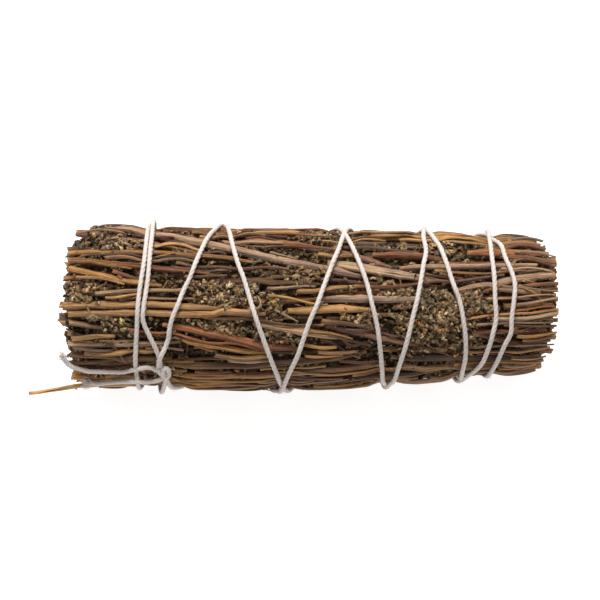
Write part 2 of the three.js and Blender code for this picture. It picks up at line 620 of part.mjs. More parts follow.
// Only the bends are kept: what lies straight between two of them is left out
const STRAIGHT_ENOUGH = 0.1;
function bendsOf(nodes) {
  const places = nodes.map(nodePlace);
  const kept = new Set([0, nodes.length - 1]);
  const halve = (from, to) => {
    let worst = 0;
    let at = -1;
    for (let i = from + 1; i < to; i += 1) {
      const off = closestOn(places[from], places[to], places[i]).distanceTo(places[i]);
      if (off > worst) {
        worst = off;
        at = i;
      }
    }
    if (worst < STRAIGHT_ENOUGH) return;
    kept.add(at);
    halve(from, at);
    halve(at, to);
  };
  halve(0, nodes.length - 1);
  return nodes.filter((_, i) => kept.has(i));
}

const windingStart = windingPlaces[0][0];
const windingSteps = Math.round((windingStart - windingEnd) / FINE_TURN);
const fineWinding = Array.from({ length: windingSteps + 1 }, (_, i) => {
  const angle = windingStart + (windingEnd - windingStart) * i / windingSteps;
  return freshNode(windingX(angle), angle);
});
stretchTight(fineWinding);
rideOver(fineWinding, fineWinding, i => i - OWN_NEIGHBOURS);
stretchTight(fineWinding);
const winding = bendsOf(fineWinding);

function layOnFace(points, step) {
  const places = points.map(point => fromFace(point, stringLevel));
  const nodes = [];
  places.slice(0, -1).forEach((place, i) => {
    const next = places[i + 1];
    const length = Math.hypot(next.x - place.x, (next.angle - place.angle) * stringLevel(place.x));
    const parts = Math.max(1, Math.round(length / step));
    for (let k = 0; k < parts; k += 1) {
      nodes.push(freshNode(place.x + (next.x - place.x) * k / parts,
        place.angle + (next.angle - place.angle) * k / parts));
    }
  });
  const end = places.at(-1);
  nodes.push(freshNode(end.x, end.angle));
  return nodes;
}

const STRING_SIDES = 5;
function stringSolid(nodes, thicken = () => 1) {
  const outward = nodes.map(node => {
    const unit = sectionPoint(1, node.angle);
    return new THREE.Vector3(0, unit.y, unit.z);
  });
  return bentRod(nodes.map(nodePlace), i => STRING_RADIUS * thicken(i / (nodes.length - 1)),
    STRING_SIDES, i => outward[i]);
}

const TAIL_SINK = 0.5;          // a tail may lie this far under the level of a taut strand
function layTail(points) {
  const nodes = layOnFace(points, FINE_LENGTH);
  nodes.forEach(node => {
    node.distance = Math.max(node.distance, stringLevel(node.x) - TAIL_SINK);
  });
  stretchTight(nodes);
  rideOver(nodes, fineWinding, () => fineWinding.length - 1);
  stretchTight(nodes);
  return bendsOf(nodes);
}

// The knot: a loop drawn tight over the strands that meet there
function knotNodes() {
  const nodes = layOnFace(KNOT_LOOP, 1.2);
  const level = Math.max(...nodes.map(node => node.distance)) + STRING_RADIUS;
  nodes.forEach(node => {
    node.distance = level;
  });
  return nodes;
}

// Leaf matter: a crumpled core, with curled, lobed blades and flower buds standing out of it
const CORE_SLACK = 0.97;        // the core's folds stay inside the space packed for it
const OUTER_CORE = { sides: 7, step: STATION_STEP / 2, shift: 0.8 };
const INNER_CORE = { sides: 6, step: STATION_STEP, shift: 1 };
const FOLD_OUT = [0.86, 1];     // crumples run out and in between these shares of the radius
const FOLD_IN = [0.6, 0.8];
const BLADE_CLEAR = 0.22;
const SAMPLE_SPACING = 0.75;

function coreSolid(chain, { sides, step, shift }) {
  const path = chainPath(chain, step, LEAF_START);
  const count = path.length - 1;
  const folds = path.map((_, i) => Array.from({ length: sides }, (_unused, j) => {
    const whole = i === 0 || i === count;
    const share = whole ? 1 : CORE_SLACK * between(...((i + j) % 2 === 0 ? FOLD_OUT : FOLD_IN));
    return { share, along: i < 2 || i > count - 2 ? 0 : between(-shift, shift) };
  }));
  const rod = new THREE.CylinderGeometry(1, 1, count, sides, count);
  const places = rod.attributes.position;
  for (let v = 0; v < places.count; v += 1) {
    const ring = Math.round(places.getY(v) + count / 2);
    const turn = Math.atan2(places.getX(v), places.getZ(v));
    const side = THREE.MathUtils.euclideanModulo(Math.round(turn * sides / FULL_TURN), sides);
    const fold = folds[ring][side];
    const x = path[ring].x + fold.along;
    const at = inSpace(x, chainAt(chain, x));
    const radius = chain.radius(x) * fold.share;
    places.setXYZ(v, at.x, at.y + radius * places.getX(v), at.z + radius * places.getZ(v));
  }
  const solid = solidOf(rod);
  return solid.volume() > 0 ? solid : solidOf(insideOut(rod));
}

// A blade from its root: rows of left edge, rib and right edge, curling over towards its tip
function bladeMesh(root, outward, grow, { length, width, rows, rise, droop, fold, twist }) {
  const side = new THREE.Vector3().crossVectors(outward, grow).normalize();
  const cross = side.clone().applyAxisAngle(outward, twist);
  const ahead = grow.clone().applyAxisAngle(outward, twist);
  const upper = [];
  const lower = [];
  const rib = root.clone();
  const step = length / (rows.length + 1);
  const addPoint = (at, normal) => {
    upper.push(at.clone().addScaledVector(normal, BLADE_THICKNESS / 2));
    lower.push(at.clone().addScaledVector(normal, -BLADE_THICKNESS / 2));
  };
  for (let r = 0; r <= rows.length + 1; r += 1) {
    const angle = rise - (rise + droop) * r / (rows.length + 1);
    const direction = ahead.clone().multiplyScalar(Math.cos(angle))
      .addScaledVector(outward, Math.sin(angle));
    const normal = new THREE.Vector3().crossVectors(direction, cross).normalize();
    if (r === 0 || r === rows.length + 1) {
      addPoint(rib, normal);
    } else {
      const half = width / 2 * rows[r - 1];
      const edge = sign => rib.clone().addScaledVector(cross, sign * half * Math.cos(fold))
        .addScaledVector(normal, half * Math.sin(fold));
      addPoint(edge(-1), normal);
      addPoint(rib, normal);
      addPoint(edge(1), normal);
    }
    rib.addScaledVector(direction, step);
  }
  return { upper, lower, rows: rows.length };
}

function bladeFaces(rows) {
  const faces = [[0, 1, 2], [0, 2, 3]];
  for (let r = 0; r < rows - 1; r += 1) {
    const a = 1 + 3 * r;
    const b = a + 3;
    faces.push([a, b, b + 1], [a, b + 1, a + 1], [a + 1, b + 1, b + 2], [a + 1, b + 2, a + 2]);
  }
  const last = 1 + 3 * (rows - 1);
  const tip = last + 3;
  faces.push([last, tip, last + 1], [last + 1, tip, last + 2]);
  return faces;
}

function bladeEdge(rows) {
  const left = Array.from({ length: rows }, (_, r) => 1 + 3 * r);
  const right = left.map(i => i + 2).reverse();
  return [0, ...left, 1 + 3 * rows, ...right];
}

function bladeSolid({ upper, lower, rows }) {
  const faces = bladeFaces(rows);
  const count = upper.length;
  const triangles = [];
  faces.forEach(([a, b, c]) => triangles.push(a, b, c, c + count, b + count, a + count));
  const edge = bladeEdge(rows);
  edge.forEach((a, i) => {
    const b = edge[(i + 1) % edge.length];
    triangles.push(b, a, a + count, b, a + count, b + count);
  });
  return closedSolid([...upper, ...lower], triangles);
}

function closedSolid(points, triangles) {
  const geometry = new THREE.BufferGeometry().setFromPoints(points);
  geometry.setIndex(triangles);
  const solid = solidOf(geometry);
  return solid.volume() > 0 ? solid : solidOf(insideOut(geometry));
}

// Points spread over the blade's two faces, to test that it clears everything
function surfacePoints({ upper, lower, rows }) {
  const found = [];
  for (const [a, b, c] of bladeFaces(rows)) {
    for (const layer of [upper, lower]) {
      const longest = Math.max(layer[a].distanceTo(layer[b]), layer[b].distanceTo(layer[c]),
        layer[c].distanceTo(layer[a]));
      const parts = Math.max(1, Math.ceil(longest / SAMPLE_SPACING));
      for (let i = 0; i <= parts; i += 1) {
        for (let j = 0; j <= parts - i; j += 1) {
          found.push(layer[a].clone().multiplyScalar(i / parts)
            .addScaledVector(layer[b], j / parts)
            .addScaledVector(layer[c], (parts - i - j) / parts));
        }
      }
    }
  }
  return found;
}

const strandPlaces = winding.map(nodePlace);
const tails = [TAIL_UP, TAIL_DOWN].map(layTail);
const strandRuns = [strandPlaces, ...tails.map(nodes => nodes.map(nodePlace)),
  knotNodes().map(nodePlace)];
const leafyChains = leafyNodes.map(node => node.main);
const woodyChains = chains.filter(chain => !leafyChains.includes(chain));
const BULGE = 0.2;              // leaf tips stand this far out of the bundle at most

function clearOfAll(point, own) {
  const x = point.x;
  const y = point.y - axisSide(x);
  const z = point.z - axisHeight(x);
  if (Math.hypot(y, z) > radiusAt(x) + BULGE || z < -undersideAt(x)) return false;
  for (const chain of woodyChains) {
    if (x < chain.from - BLADE_CLEAR || x > chain.to + BLADE_CLEAR) continue;
    const at = chainAt(chain, x);
    if (Math.hypot(y - at.y, z - at.z) < at.reach + BLADE_CLEAR) return false;
  }
  const mine = chainAt(own, x);
  const ownPower = (y - mine.y) ** 2 + (z - mine.z) ** 2 - mine.reach ** 2;
  for (const chain of leafyChains) {
    if (chain === own || x < chain.from - 2 || x > chain.to + 2) continue;
    const at = chainAt(chain, x);
    const power = (y - at.y) ** 2 + (z - at.z) ** 2 - at.reach ** 2;
    const apart = Math.hypot(at.y - mine.y, at.z - mine.z);
    if ((power - ownPower) / (2 * apart) < BLADE_CLEAR / 2 + 0.05) return false;
  }
  for (const run of strandRuns) {
    for (let i = 0; i < run.length - 1; i += 1) {
      if (Math.min(run[i].x, run[i + 1].x) > x + 1) continue;
      if (Math.max(run[i].x, run[i + 1].x) < x - 1) continue;
      const near = closestOn(run[i], run[i + 1], point).distanceTo(point);
      if (near < STRING_RADIUS + BLADE_CLEAR) return false;
    }
  }
  return true;
}

const BLADE_ROWS = [[1, 0.6], [0.65, 1], [1, 0.45]];
const BLADES_OUTER = 8;
const BLADES_INNER = 2;
const BUDS_OUTER = 5;
const BUDS_INNER = 2;
const TRIES = 120;

function outwardDirection(chain, x, spread) {
  const at = chainAt(chain, x);
  const angle = Math.atan2(at.z, at.y) + between(-spread, spread);
  return { at: inSpace(x, at), reach: at.reach,
    outward: new THREE.Vector3(0, Math.cos(angle), Math.sin(angle)) };
}

function tryBlade(chain, spread) {
  const x = between(chain.from + 2.5, chain.to - 2.5);
  const { at, reach, outward } = outwardDirection(chain, x, spread);
  const grow = new THREE.Vector3(draw() < 0.5 ? 1 : -1, 0, 0);
  const shape = { length: between(3, 6.5), width: between(2, 4.4),
    rows: BLADE_ROWS[Math.floor(draw() * BLADE_ROWS.length)], rise: between(0.6, 1.3),
    droop: between(0.2, 1.1), fold: between(0.1, 0.5), twist: between(-1, 1) };
  const root = at.clone().addScaledVector(outward, reach * 0.6);
  const blade = bladeMesh(root, outward, grow, shape);
  return surfacePoints(blade).every(point => clearOfAll(point, chain)) ? bladeSolid(blade) : null;
}

// A flower bud: a pointed egg with its base sunk in the core
const BUD_SIDES = 6;
function tryBud(chain, spread) {
  const x = between(chain.from + 2.5, chain.to - 2.5);
  const { at, reach, outward } = outwardDirection(chain, x, spread);
  const radius = between(0.75, 1.15);
  const lean = new THREE.Vector3(between(-0.8, 0.8), 0, 0).add(outward).normalize();
  const base = at.clone().addScaledVector(outward, reach * 0.7);
  const side = new THREE.Vector3().crossVectors(lean, UPWARD).normalize();
  const other = new THREE.Vector3().crossVectors(lean, side);
  const belly = base.clone().addScaledVector(lean, radius * 1.3);
  const points = [base, base.clone().addScaledVector(lean, radius * 2.6)];
  for (let i = 0; i < BUD_SIDES; i += 1) {
    const turn = FULL_TURN * i / BUD_SIDES;
    points.push(belly.clone().addScaledVector(side, radius * Math.cos(turn))
      .addScaledVector(other, radius * Math.sin(turn)));
  }
  if (!points.every(point => clearOfAll(point, chain))) return null;
  const triangles = [];
  for (let i = 0; i < BUD_SIDES; i += 1) {
    const a = 2 + i;
    const b = 2 + (i + 1) % BUD_SIDES;
    triangles.push(0, b, a, 1, a, b);
  }
  return closedSolid(points, triangles);
}

function grown(count, attempt, chain, spread) {
  const found = [];
  for (let i = 0; i < count * TRIES && found.length < count; i += 1) {
    const solid = attempt(chain, spread);
    if (solid) found.push(solid);
  }
  return found;
}

for (const { name, main, outer } of leafyNodes) {
  const spread = outer ? 1.5 : Math.PI;
  const leaves = grown(outer ? BLADES_OUTER : BLADES_INNER, tryBlade, main, spread);
  const buds = grown(outer ? BUDS_OUTER : BUDS_INNER, tryBud, main, spread);
  const core = coreSolid(main, outer ? OUTER_CORE : INNER_CORE);
  const solid = [...leaves, ...buds].reduce((all, piece) => all.add(piece), core);
  addPiece(name, wholeOf(solid), LEAF, 0.9);
}

let string = stringSolid(winding).add(stringSolid(knotNodes(), () => 1.1));
for (const tail of tails) {
  string = string.add(stringSolid(tail, t => 1 + 0.25 * THREE.MathUtils.smoothstep(t, 0.8, 1)));
}
const floorSlab = new THREE.BoxGeometry(200, 80, 10).translate(0, 0, -5);
string = string.subtract(solidOf(floorSlab));
addPiece('binding_string', wholeOf(string), COTTON, 0.95);

const bounds = new THREE.Box3().setFromObject(stick);
const middle = bounds.getCenter(new THREE.Vector3());
stick.position.set(-middle.x, -middle.y, -bounds.min.z);

export default stick;
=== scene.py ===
# %% [markdown]
# # A mugwort smudge stick
# The real thing is a handful of dried mugwort stalks, cut to one length, packed side by side with
# their leaves and flower heads on, and bound by hand with one cotton string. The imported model
# holds every stalk, every leafy spray and the string as a plain solid. This lesson dresses them:
# ribbed bark and pale cut ends on the stalks, crumpled leaves and hundreds of small flower heads
# on the sprays, and three twisted plies in the string. Lengths are in millimetres until a mesh is
# made, because that is how such small things are measured.

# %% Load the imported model
import math

import bmesh
import bpy
import numpy as np
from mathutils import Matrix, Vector, noise
from mathutils.bvhtree import BVHTree
from mathutils.kdtree import KDTree


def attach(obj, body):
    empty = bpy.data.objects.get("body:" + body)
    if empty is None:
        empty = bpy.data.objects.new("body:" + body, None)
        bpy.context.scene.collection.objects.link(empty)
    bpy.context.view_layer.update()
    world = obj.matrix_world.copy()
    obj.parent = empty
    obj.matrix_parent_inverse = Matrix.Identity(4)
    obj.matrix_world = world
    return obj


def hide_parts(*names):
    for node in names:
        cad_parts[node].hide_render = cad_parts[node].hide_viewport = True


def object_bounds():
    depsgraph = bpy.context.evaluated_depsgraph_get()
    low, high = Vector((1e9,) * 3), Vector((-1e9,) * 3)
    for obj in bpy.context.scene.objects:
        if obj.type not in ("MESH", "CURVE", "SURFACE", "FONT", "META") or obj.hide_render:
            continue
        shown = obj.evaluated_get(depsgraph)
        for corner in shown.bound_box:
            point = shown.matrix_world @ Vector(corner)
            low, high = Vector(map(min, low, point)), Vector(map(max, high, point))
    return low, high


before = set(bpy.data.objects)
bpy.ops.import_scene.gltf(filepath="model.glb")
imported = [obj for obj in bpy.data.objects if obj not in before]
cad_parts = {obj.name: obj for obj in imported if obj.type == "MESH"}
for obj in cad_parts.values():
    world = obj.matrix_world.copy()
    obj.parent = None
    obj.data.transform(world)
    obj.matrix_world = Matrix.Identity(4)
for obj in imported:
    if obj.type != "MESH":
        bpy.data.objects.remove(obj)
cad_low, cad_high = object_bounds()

MM = 0.001
for leftover in ("Cube", "Light", "Camera"):
    if leftover in bpy.data.objects:
        bpy.data.objects.remove(bpy.data.objects[leftover])
print("packed model:", len(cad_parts), "nodes")

# %% [markdown]
# ## The bundle's own shape
# The bundle is a little fatter at its knot end, and its axis wanders. The string and the loose
# twigs were laid out as they are seen on the best side, which looks up and forward by 60 degrees,
# so the same few rules are needed here to lay finer pieces in the same places.

# %% Radius, axis and underside along the stick
BUNDLE_RADIUS = [(-50, 16.3), (-44, 17.2), (-34, 16.8), (-6, 17.0), (7, 16.7), (15, 16.1),
                 (26, 15.9), (33, 15.1), (38, 14.9), (46, 14.5), (51, 13.6)]
AXIS_WANDER = [(-50, 0.3), (-30, -0.3), (-6, -0.8), (15, -0.4), (35, 0.1), (48, 0.4)]
GAP = 0.3                   # between the bundle's surface and the string
STRING_RADIUS = 0.55
FLAT_HALF_WIDTH = 4.0       # half the width of the bundle's flat underside
STRING_FLAT = 0.12          # how deep the string is worn flat below it
FACE_TILT = math.radians(60)
EYE_DISTANCE = 510.0
SHIFT = np.array([4.0411, 0.2702, 0.0])   # from the layout's origin to the model's


def curve_through(points):
    """A smooth curve through (x, value) points, held level past both ends."""
    points = sorted(points)
    xs = np.array([p[0] for p in points], float)
    ys = np.array([p[1] for p in points], float)
    rises = np.diff(ys) / np.diff(xs)
    slopes = np.concatenate([rises[:1], (rises[1:] + rises[:-1]) / 2, rises[-1:]])

    def value(x):
        x = np.clip(np.asarray(x, float), xs[0], xs[-1])
        i = np.clip(np.searchsorted(xs, x, side="right") - 1, 0, len(xs) - 2)
        width = xs[i + 1] - xs[i]
        t = (x - xs[i]) / width
        return ((2 * t**3 - 3 * t**2 + 1) * ys[i] + (t**3 - 2 * t**2 + t) * width * slopes[i]
                + (3 * t**2 - 2 * t**3) * ys[i + 1] + (t**3 - t**2) * width * slopes[i + 1])
    return value


radius_at = curve_through(BUNDLE_RADIUS)
wander_at = curve_through(AXIS_WANDER)


def underside_at(x):
    return np.sqrt(radius_at(x)**2 - FLAT_HALF_WIDTH**2)


def axis_height(x):
    return underside_at(x) + GAP + 2 * STRING_RADIUS - STRING_FLAT


def axis_side(x):
    lift = math.cos(FACE_TILT) * (axis_height(x) - axis_height(0))
    return (wander_at(x) - lift) / math.sin(FACE_TILT)


def in_space(x, distance, angle):
    """The place this far from the axis, turned by angle from the middle of the best side."""
    x = np.asarray(x, float)
    y = axis_side(x) - distance * np.cos(FACE_TILT + angle)
    z = axis_height(x) + distance * np.sin(FACE_TILT + angle)
    return np.stack([x, y, z], axis=-1) + SHIFT


def outwards(x, angle):
    """The direction straight away from the axis."""
    return in_space(x, 1.0, angle) - in_space(x, 0.0, angle)


def around_axis(place):
    """The reverse of in_space: x, distance and angle of one place."""
    x = float(place[0] - SHIFT[0])
    y = place[1] - SHIFT[1] - float(axis_side(x))
    z = place[2] - float(axis_height(x))
    return x, math.hypot(y, z), math.atan2(z, -y) - FACE_TILT


def from_face(point, distance_at):
    """What is seen at (along, across) on the best side, as x and angle on a surface."""
    along, across = point
    x, angle = along, 0.0
    for _ in range(4):
        distance = float(distance_at(x))
        nearer = 1 - distance * math.cos(angle) / EYE_DISTANCE
        x = along * nearer
        height = (across - float(wander_at(x))) * nearer / distance
        angle = math.asin(min(0.999, max(-0.999, height)))
    return x, angle


print("radius at the middle:", round(float(radius_at(0)), 2), "mm")

# %% [markdown]
# ## The camera
# The photographer looked down at the bundle from its near side. The camera stands where the best
# side was laid out from, 510 mm away, and frames the stick as the photo does.

# %% Camera and view
VIEW_ELEVATION = math.radians(60)
AIM = np.array([1.94, 1.36, 18.31])
LENS, SENSOR = 145.7, 36
towards_eye = np.array([0, -math.cos(VIEW_ELEVATION), math.sin(VIEW_ELEVATION)])
eye = AIM + EYE_DISTANCE * towards_eye
camera_data = bpy.data.cameras.new("camera")
camera_data.lens = LENS
camera_data.sensor_width = SENSOR
camera = bpy.data.objects.new("camera", camera_data)
camera.location = Vector(eye * MM)
camera.rotation_euler = (math.pi / 2 - VIEW_ELEVATION, 0, 0)
bpy.context.scene.collection.objects.link(camera)
bpy.context.scene.camera = camera
up_in_view = np.array([0, math.sin(VIEW_ELEVATION), math.cos(VIEW_ELEVATION)])
PIXELS = 600
PIXELS_PER_MM = LENS / SENSOR * PIXELS      # at a distance of one millimetre
FACE_MIDDLE = (310, 306)                    # the pixel that shows the layout's origin
PIXEL_SIZE = 0.21                           # of the photo, in millimetres on the bundle


def seen_at(places):
    """Where places of the stick are seen, in pixels of the photo's frame."""
    offset = places - AIM
    depth = EYE_DISTANCE - offset @ towards_eye
    across = PIXELS / 2 + offset[..., 0] * PIXELS_PER_MM / depth
    down = PIXELS / 2 - offset @ up_in_view * PIXELS_PER_MM / depth
    return np.stack([across, down], axis=-1)


def face_point(pixel):
    """A pixel of the photo's frame as (along, across) on the best side."""
    return (pixel[0] - FACE_MIDDLE[0]) * PIXEL_SIZE, (FACE_MIDDLE[1] - pixel[1]) * PIXEL_SIZE


print("camera at", [round(float(v)) for v in eye], "mm")

# %% [markdown]
# ## Where every stalk lies
# A stalk's solid is a plain rod. Cutting it by planes across the stick gives a ring in each
# plane, and the middles of the rings are the stalk's centre line. A forked stalk gives two rings
# in a plane, so rings are followed from plane to plane as separate tracks.

# %% Cut a node's solid by planes
TRACE_STEP = 1.5
RING_SHARE = 5.878          # perimeter of a five-sided ring of radius 1
SMALLEST_RING = 1.0         # perimeter
END_INSET = 0.35            # how far inside a stalk's ends the outer planes lie
FOLLOW_REACH = 1.1          # a track's next ring is found within this distance
ROOT_REACH = 2.5            # how far along the main stalk a twig's root is looked for
MOST_SWELL = 1.25           # a stalk's ring is at most this share of its typical one


def triangles_of(node):
    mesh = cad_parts[node].data
    mesh.calc_loop_triangles()
    places = np.empty(len(mesh.vertices) * 3)
    mesh.vertices.foreach_get("co", places)
    index = np.empty(len(mesh.loop_triangles) * 3, dtype=np.int32)
    mesh.loop_triangles.foreach_get("vertices", index)
    return places.reshape(-1, 3)[index].reshape(-1, 3, 3) / MM


def rings_at(triangles, x):
    """Middle and radius of every closed ring in which the plane at x cuts the triangles."""
    low, high = triangles[..., 0].min(axis=1), triangles[..., 0].max(axis=1)
    segments = []
    for triangle in triangles[(low < x) & (high > x)]:
        ends = []
        for a, b in ((0, 1), (1, 2), (2, 0)):
            p, q = sorted((tuple(triangle[a]), tuple(triangle[b])))
            if (p[0] < x) != (q[0] < x):
                t = (x - p[0]) / (q[0] - p[0])
                ends.append(tuple(round(p[k] + (q[k] - p[k]) * t, 3) for k in (1, 2)))
        if len(ends) == 2 and ends[0] != ends[1]:
            segments.append(ends)
    group = {}

    def root(place):
        while group.setdefault(place, place) != place:
            place = group[place]
        return place

    for a, b in segments:
        group[root(a)] = root(b)
    rings = {}
    for a, b in segments:
        length = math.dist(a, b)
        ring = rings.setdefault(root(a), [0.0, 0.0, 0.0])
        ring[0] += length
        ring[1] += length * (a[0] + b[0]) / 2
        ring[2] += length * (a[1] + b[1]) / 2
    return [(y / length, z / length, length / RING_SHARE)
            for length, y, z in rings.values() if length > SMALLEST_RING]


# %% Follow the rings of a stalk as tracks
def tracks_of(node):
    """Centre lines of a stalk and its twigs: arrays of x, y, z and radius."""
    triangles = triangles_of(node)
    start, end = triangles[..., 0].min() + END_INSET, triangles[..., 0].max() - END_INSET
    planes = np.linspace(start, end, max(3, round((end - start) / TRACE_STEP) + 1))
    tracks, running = [], []
    for x in planes:
        rings = rings_at(triangles, x)
        pairs = sorted((math.dist(track[-1][1:3], ring[:2]), i, j)
                       for i, track in enumerate(running) for j, ring in enumerate(rings))
        used_tracks, used_rings = set(), set()
        for distance, i, j in pairs:
            if distance < FOLLOW_REACH and i not in used_tracks and j not in used_rings:
                running[i].append((x, *rings[j]))
                used_tracks.add(i)
                used_rings.add(j)
        still = [track for i, track in enumerate(running) if i in used_tracks]
        tracks += [track for i, track in enumerate(running) if i not in used_tracks]
        running = still + [[(x, *ring)] for j, ring in enumerate(rings) if j not in used_rings]
    tracks = sorted(tracks + running, key=len, reverse=True)
    tracks = [np.array(track) for track in tracks if len(track) > 2]
    main = tracks[0]
    whole = [main]
    for twig in tracks[1:]:
        if planes[0] < twig[0, 0] - 0.1:
            twig = np.vstack([root_on(main, twig[0], -ROOT_REACH), twig])
        elif planes[-1] > twig[-1, 0] + 0.1:
            twig = np.vstack([twig, root_on(main, twig[-1], ROOT_REACH)])
        whole.append(twig)
    main[:, 3] = np.minimum(main[:, 3], np.median(main[:, 3]) * MOST_SWELL)
    return whole


def root_on(main, end, reach):
    """The place on the main stalk that a twig grows from."""
    x = float(np.clip(end[0] + reach, main[0, 0], main[-1, 0]))
    return [x] + [float(np.interp(x, main[:, 0], main[:, k])) for k in (1, 2)] + [end[3]]


woody_nodes = sorted(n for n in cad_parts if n.startswith("woody") or n == "stray_twig")
leafy_nodes = sorted(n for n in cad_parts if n.startswith("leafy"))
tracks = {node: tracks_of(node) for node in woody_nodes}
all_tracks = [track for node in woody_nodes for track in tracks[node]]
print("tracks:", len(all_tracks), "forked:", [n[-2:] for n in woody_nodes if len(tracks[n]) > 1])

# %% [markdown]
# ## The string's route
# The string is one length: it starts at the knot, goes round the bundle ten times, out to the
# right end and back, and ends in the knot again. Its place along the stick is known for every
# turn, and how far out it lies is read from the string's solid by looking outwards from the axis.
# The knot, the two tails and the last short strand are laid again, finer, as the photo shows them.

# %% The winding as it is seen on the best side
STRANDS = [
    [(-34, 16.8), (-34.9, 9.7), (-35.9, 3.4), (-36.3, -0.8), (-36.5, -5), (-36.7, -9.2),
     (-36.7, -13)],
    [(-33, 16.8), (-33.6, 11.8), (-34.2, 5.5), (-35.1, -0.8), (-35.2, -3), (-33.8, -6.7),
     (-32.8, -8.8), (-31.9, -10.9), (-31.3, -13)],
    [(-17.4, 17.4), (-16.4, 13.9), (-15.3, 9.7), (-14.1, 6.5), (-12.6, 1.3), (-11.3, -2.9),
     (-9.9, -7.1), (-8.4, -11.3), (-6.9, -15.1), (-6.1, -17.2)],
    [(7.6, 15.5), (9, 12.8), (10.5, 9.2), (12, 4.8), (12.8, 1.3), (13.7, -2.5), (14.3, -5.7),
     (14.7, -9.2), (15.1, -13.4), (15.3, -16.2)],
    [(26, 15.1), (27.3, 13.2), (28.8, 9.2), (30.2, 4.8), (31.5, 1.3), (32.3, -2.9), (32.8, -7.1),
     (32.8, -10.9), (32.1, -14.5)],
    [(38.4, 14.9), (39.9, 13.9), (41.4, 10.3), (42.6, 7.6), (43.3, 4.8), (43.1, 1.3),
     (42.6, -2.9), (42.4, -6.1), (41.2, -8.6), (39.9, -11.5), (38.4, -14.3)],
    [(37.8, 14.9), (38.4, 10.7), (38.9, 6.5), (39.1, 1.3), (39.3, -2.9), (38.6, -6.1),
     (37.6, -9.7), (36.5, -12.2), (34.2, -14.7)],
    [(23.9, 15.5), (24.4, 11.8), (23.9, 9.2), (23.3, 5.5), (22.5, 1.3), (21.6, -2.5),
     (20.8, -6.1), (20, -9.2), (18.9, -12.4), (18.1, -14.9)],
    [(6.9, 15.3), (5.9, 12.4), (4.6, 9.2), (3.2, 5.5), (1.5, 0.6), (0, -2.9), (-1.3, -6.7),
     (-2.5, -10.3), (-4.2, -14.1), (-5.7, -17.2)],
    [(-20, 16.8), (-22.1, 13.9), (-23.5, 10.7), (-25.2, 6.5), (-26.7, 3.4), (-27.9, 0.2),
     (-29, -2.5), (-29.6, -5), (-29.9, -9.2), (-29.9, -11.4), (-29.8, -12.8)],
]
KNOT_START = (-32.2, -14.9)
TAIL_UP = [(-31.3, -13.9), (-33.6, -13), (-35.7, -13.3), (-40, -13.7), (-44, -13.4),
           (-48.3, -13), (-50.4, -12.4), (-51.9, -11.5)]
TAIL_DOWN = [(-30.9, -16.1), (-33.6, -16.7), (-37.8, -16.8), (-42, -16.7), (-46.4, -16.2)]
TURN_STEP = math.radians(1.5)
string_corners = triangles_of("binding_string").reshape(-1, 3)
string_tree = BVHTree.FromPolygons([Vector(corner) for corner in string_corners],
                                   [(i, i + 1, i + 2) for i in range(0, len(string_corners), 3)])


def string_level(x):
    return radius_at(x) + GAP + STRING_RADIUS


# %% Read how far out the string lies
LOOK_FROM, LOOK_REACH = 3.0, 8.0    # from this far under the bundle's surface, and how far
MOST_STRANDS = 3                    # at one crossing
STRAND_JUMP = 0.8                   # a strand further off than this is another strand


def string_distances(x, angle):
    """How far from the axis the string's middle lies here: one value for each strand."""
    start = float(radius_at(x)) - LOOK_FROM
    ahead = outwards(x, angle)
    origin = in_space(x, start, angle)
    crossings, reach = [], 0.0
    while len(crossings) < 2 * MOST_STRANDS:
        place, _, _, distance = string_tree.ray_cast(Vector(origin + ahead * reach),
                                                     Vector(ahead), LOOK_REACH - reach)
        if place is None:
            break
        reach += distance + 1e-3
        crossings.append(start + reach)
    return [(a + b) / 2 for a, b in zip(crossings[::2], crossings[1::2])]


def evened(values, reach):
    """Each value averaged with this many neighbours on either side."""
    shares = np.ones(2 * reach + 1) / (2 * reach + 1)
    return np.convolve(np.pad(values, reach, mode="edge"), shares, mode="valid")


def read_route(places, first):
    """The string's middle at every (x, angle), read from its solid, in millimetres."""
    level, found = first, []
    for x, angle in places:
        here = string_distances(x, angle)
        if here:
            nearest = min(here, key=lambda d: abs(d - level))
            level = nearest if abs(nearest - level) < STRAND_JUMP else level
        found.append(level)
    return evened(np.array(found), 3)


def steps_of(route):
    """The distance from each point of a route to the next."""
    return np.linalg.norm(np.diff(np.asarray(route)[:, :3], axis=0), axis=1)


def length_of(route):
    return float(steps_of(route).sum())


# %% The winding, from one turn to the next
knot_x, knot_angle = from_face(KNOT_START, string_level)
turn_places = [(knot_angle, knot_x)]
for turn, strand in enumerate(STRANDS):
    for point in strand:
        x, angle = from_face(point, string_level)
        turn_places.append((angle - 2 * math.pi * (turn + 1), x))
winding_x = curve_through(turn_places)
last_angle, first_angle = min(turn_places)[0], turn_places[0][0]
turns = np.linspace(first_angle, last_angle, round((first_angle - last_angle) / TURN_STEP) + 1)
winding = [(float(winding_x(a)), a) for a in turns]
winding_distance = read_route(winding, float(string_level(winding[0][0])))
winding_path = in_space([x for x, _ in winding], winding_distance, turns)
print("winding:", round(length_of(winding_path)), "mm")


# %% The knot and the two tails
def laid_out(points, step):
    """(x, angle) places along a route given as it is seen on the best side."""
    places = [from_face(point, string_level) for point in points]
    fine = []
    for (x0, a0), (x1, a1) in zip(places, places[1:]):
        length = math.hypot(x1 - x0, (a1 - a0) * float(string_level(x0)))
        count = max(1, round(length / step))
        fine += [(x0 + (x1 - x0) * k / count, a0 + (a1 - a0) * k / count) for k in range(count)]
    return fine + [places[-1]]


def read_along(points):
    """How far out the string's solid lies along a route, as a curve over x."""
    places = laid_out(points, 0.5)
    top = max(string_distances(*places[0]) or [float(string_level(places[0][0]))])
    distance = read_route(places, top)
    order = np.argsort([x for x, _ in places])
    xs = np.array([x for x, _ in places])[order]
    return lambda x: float(np.interp(x, xs, distance[order]))


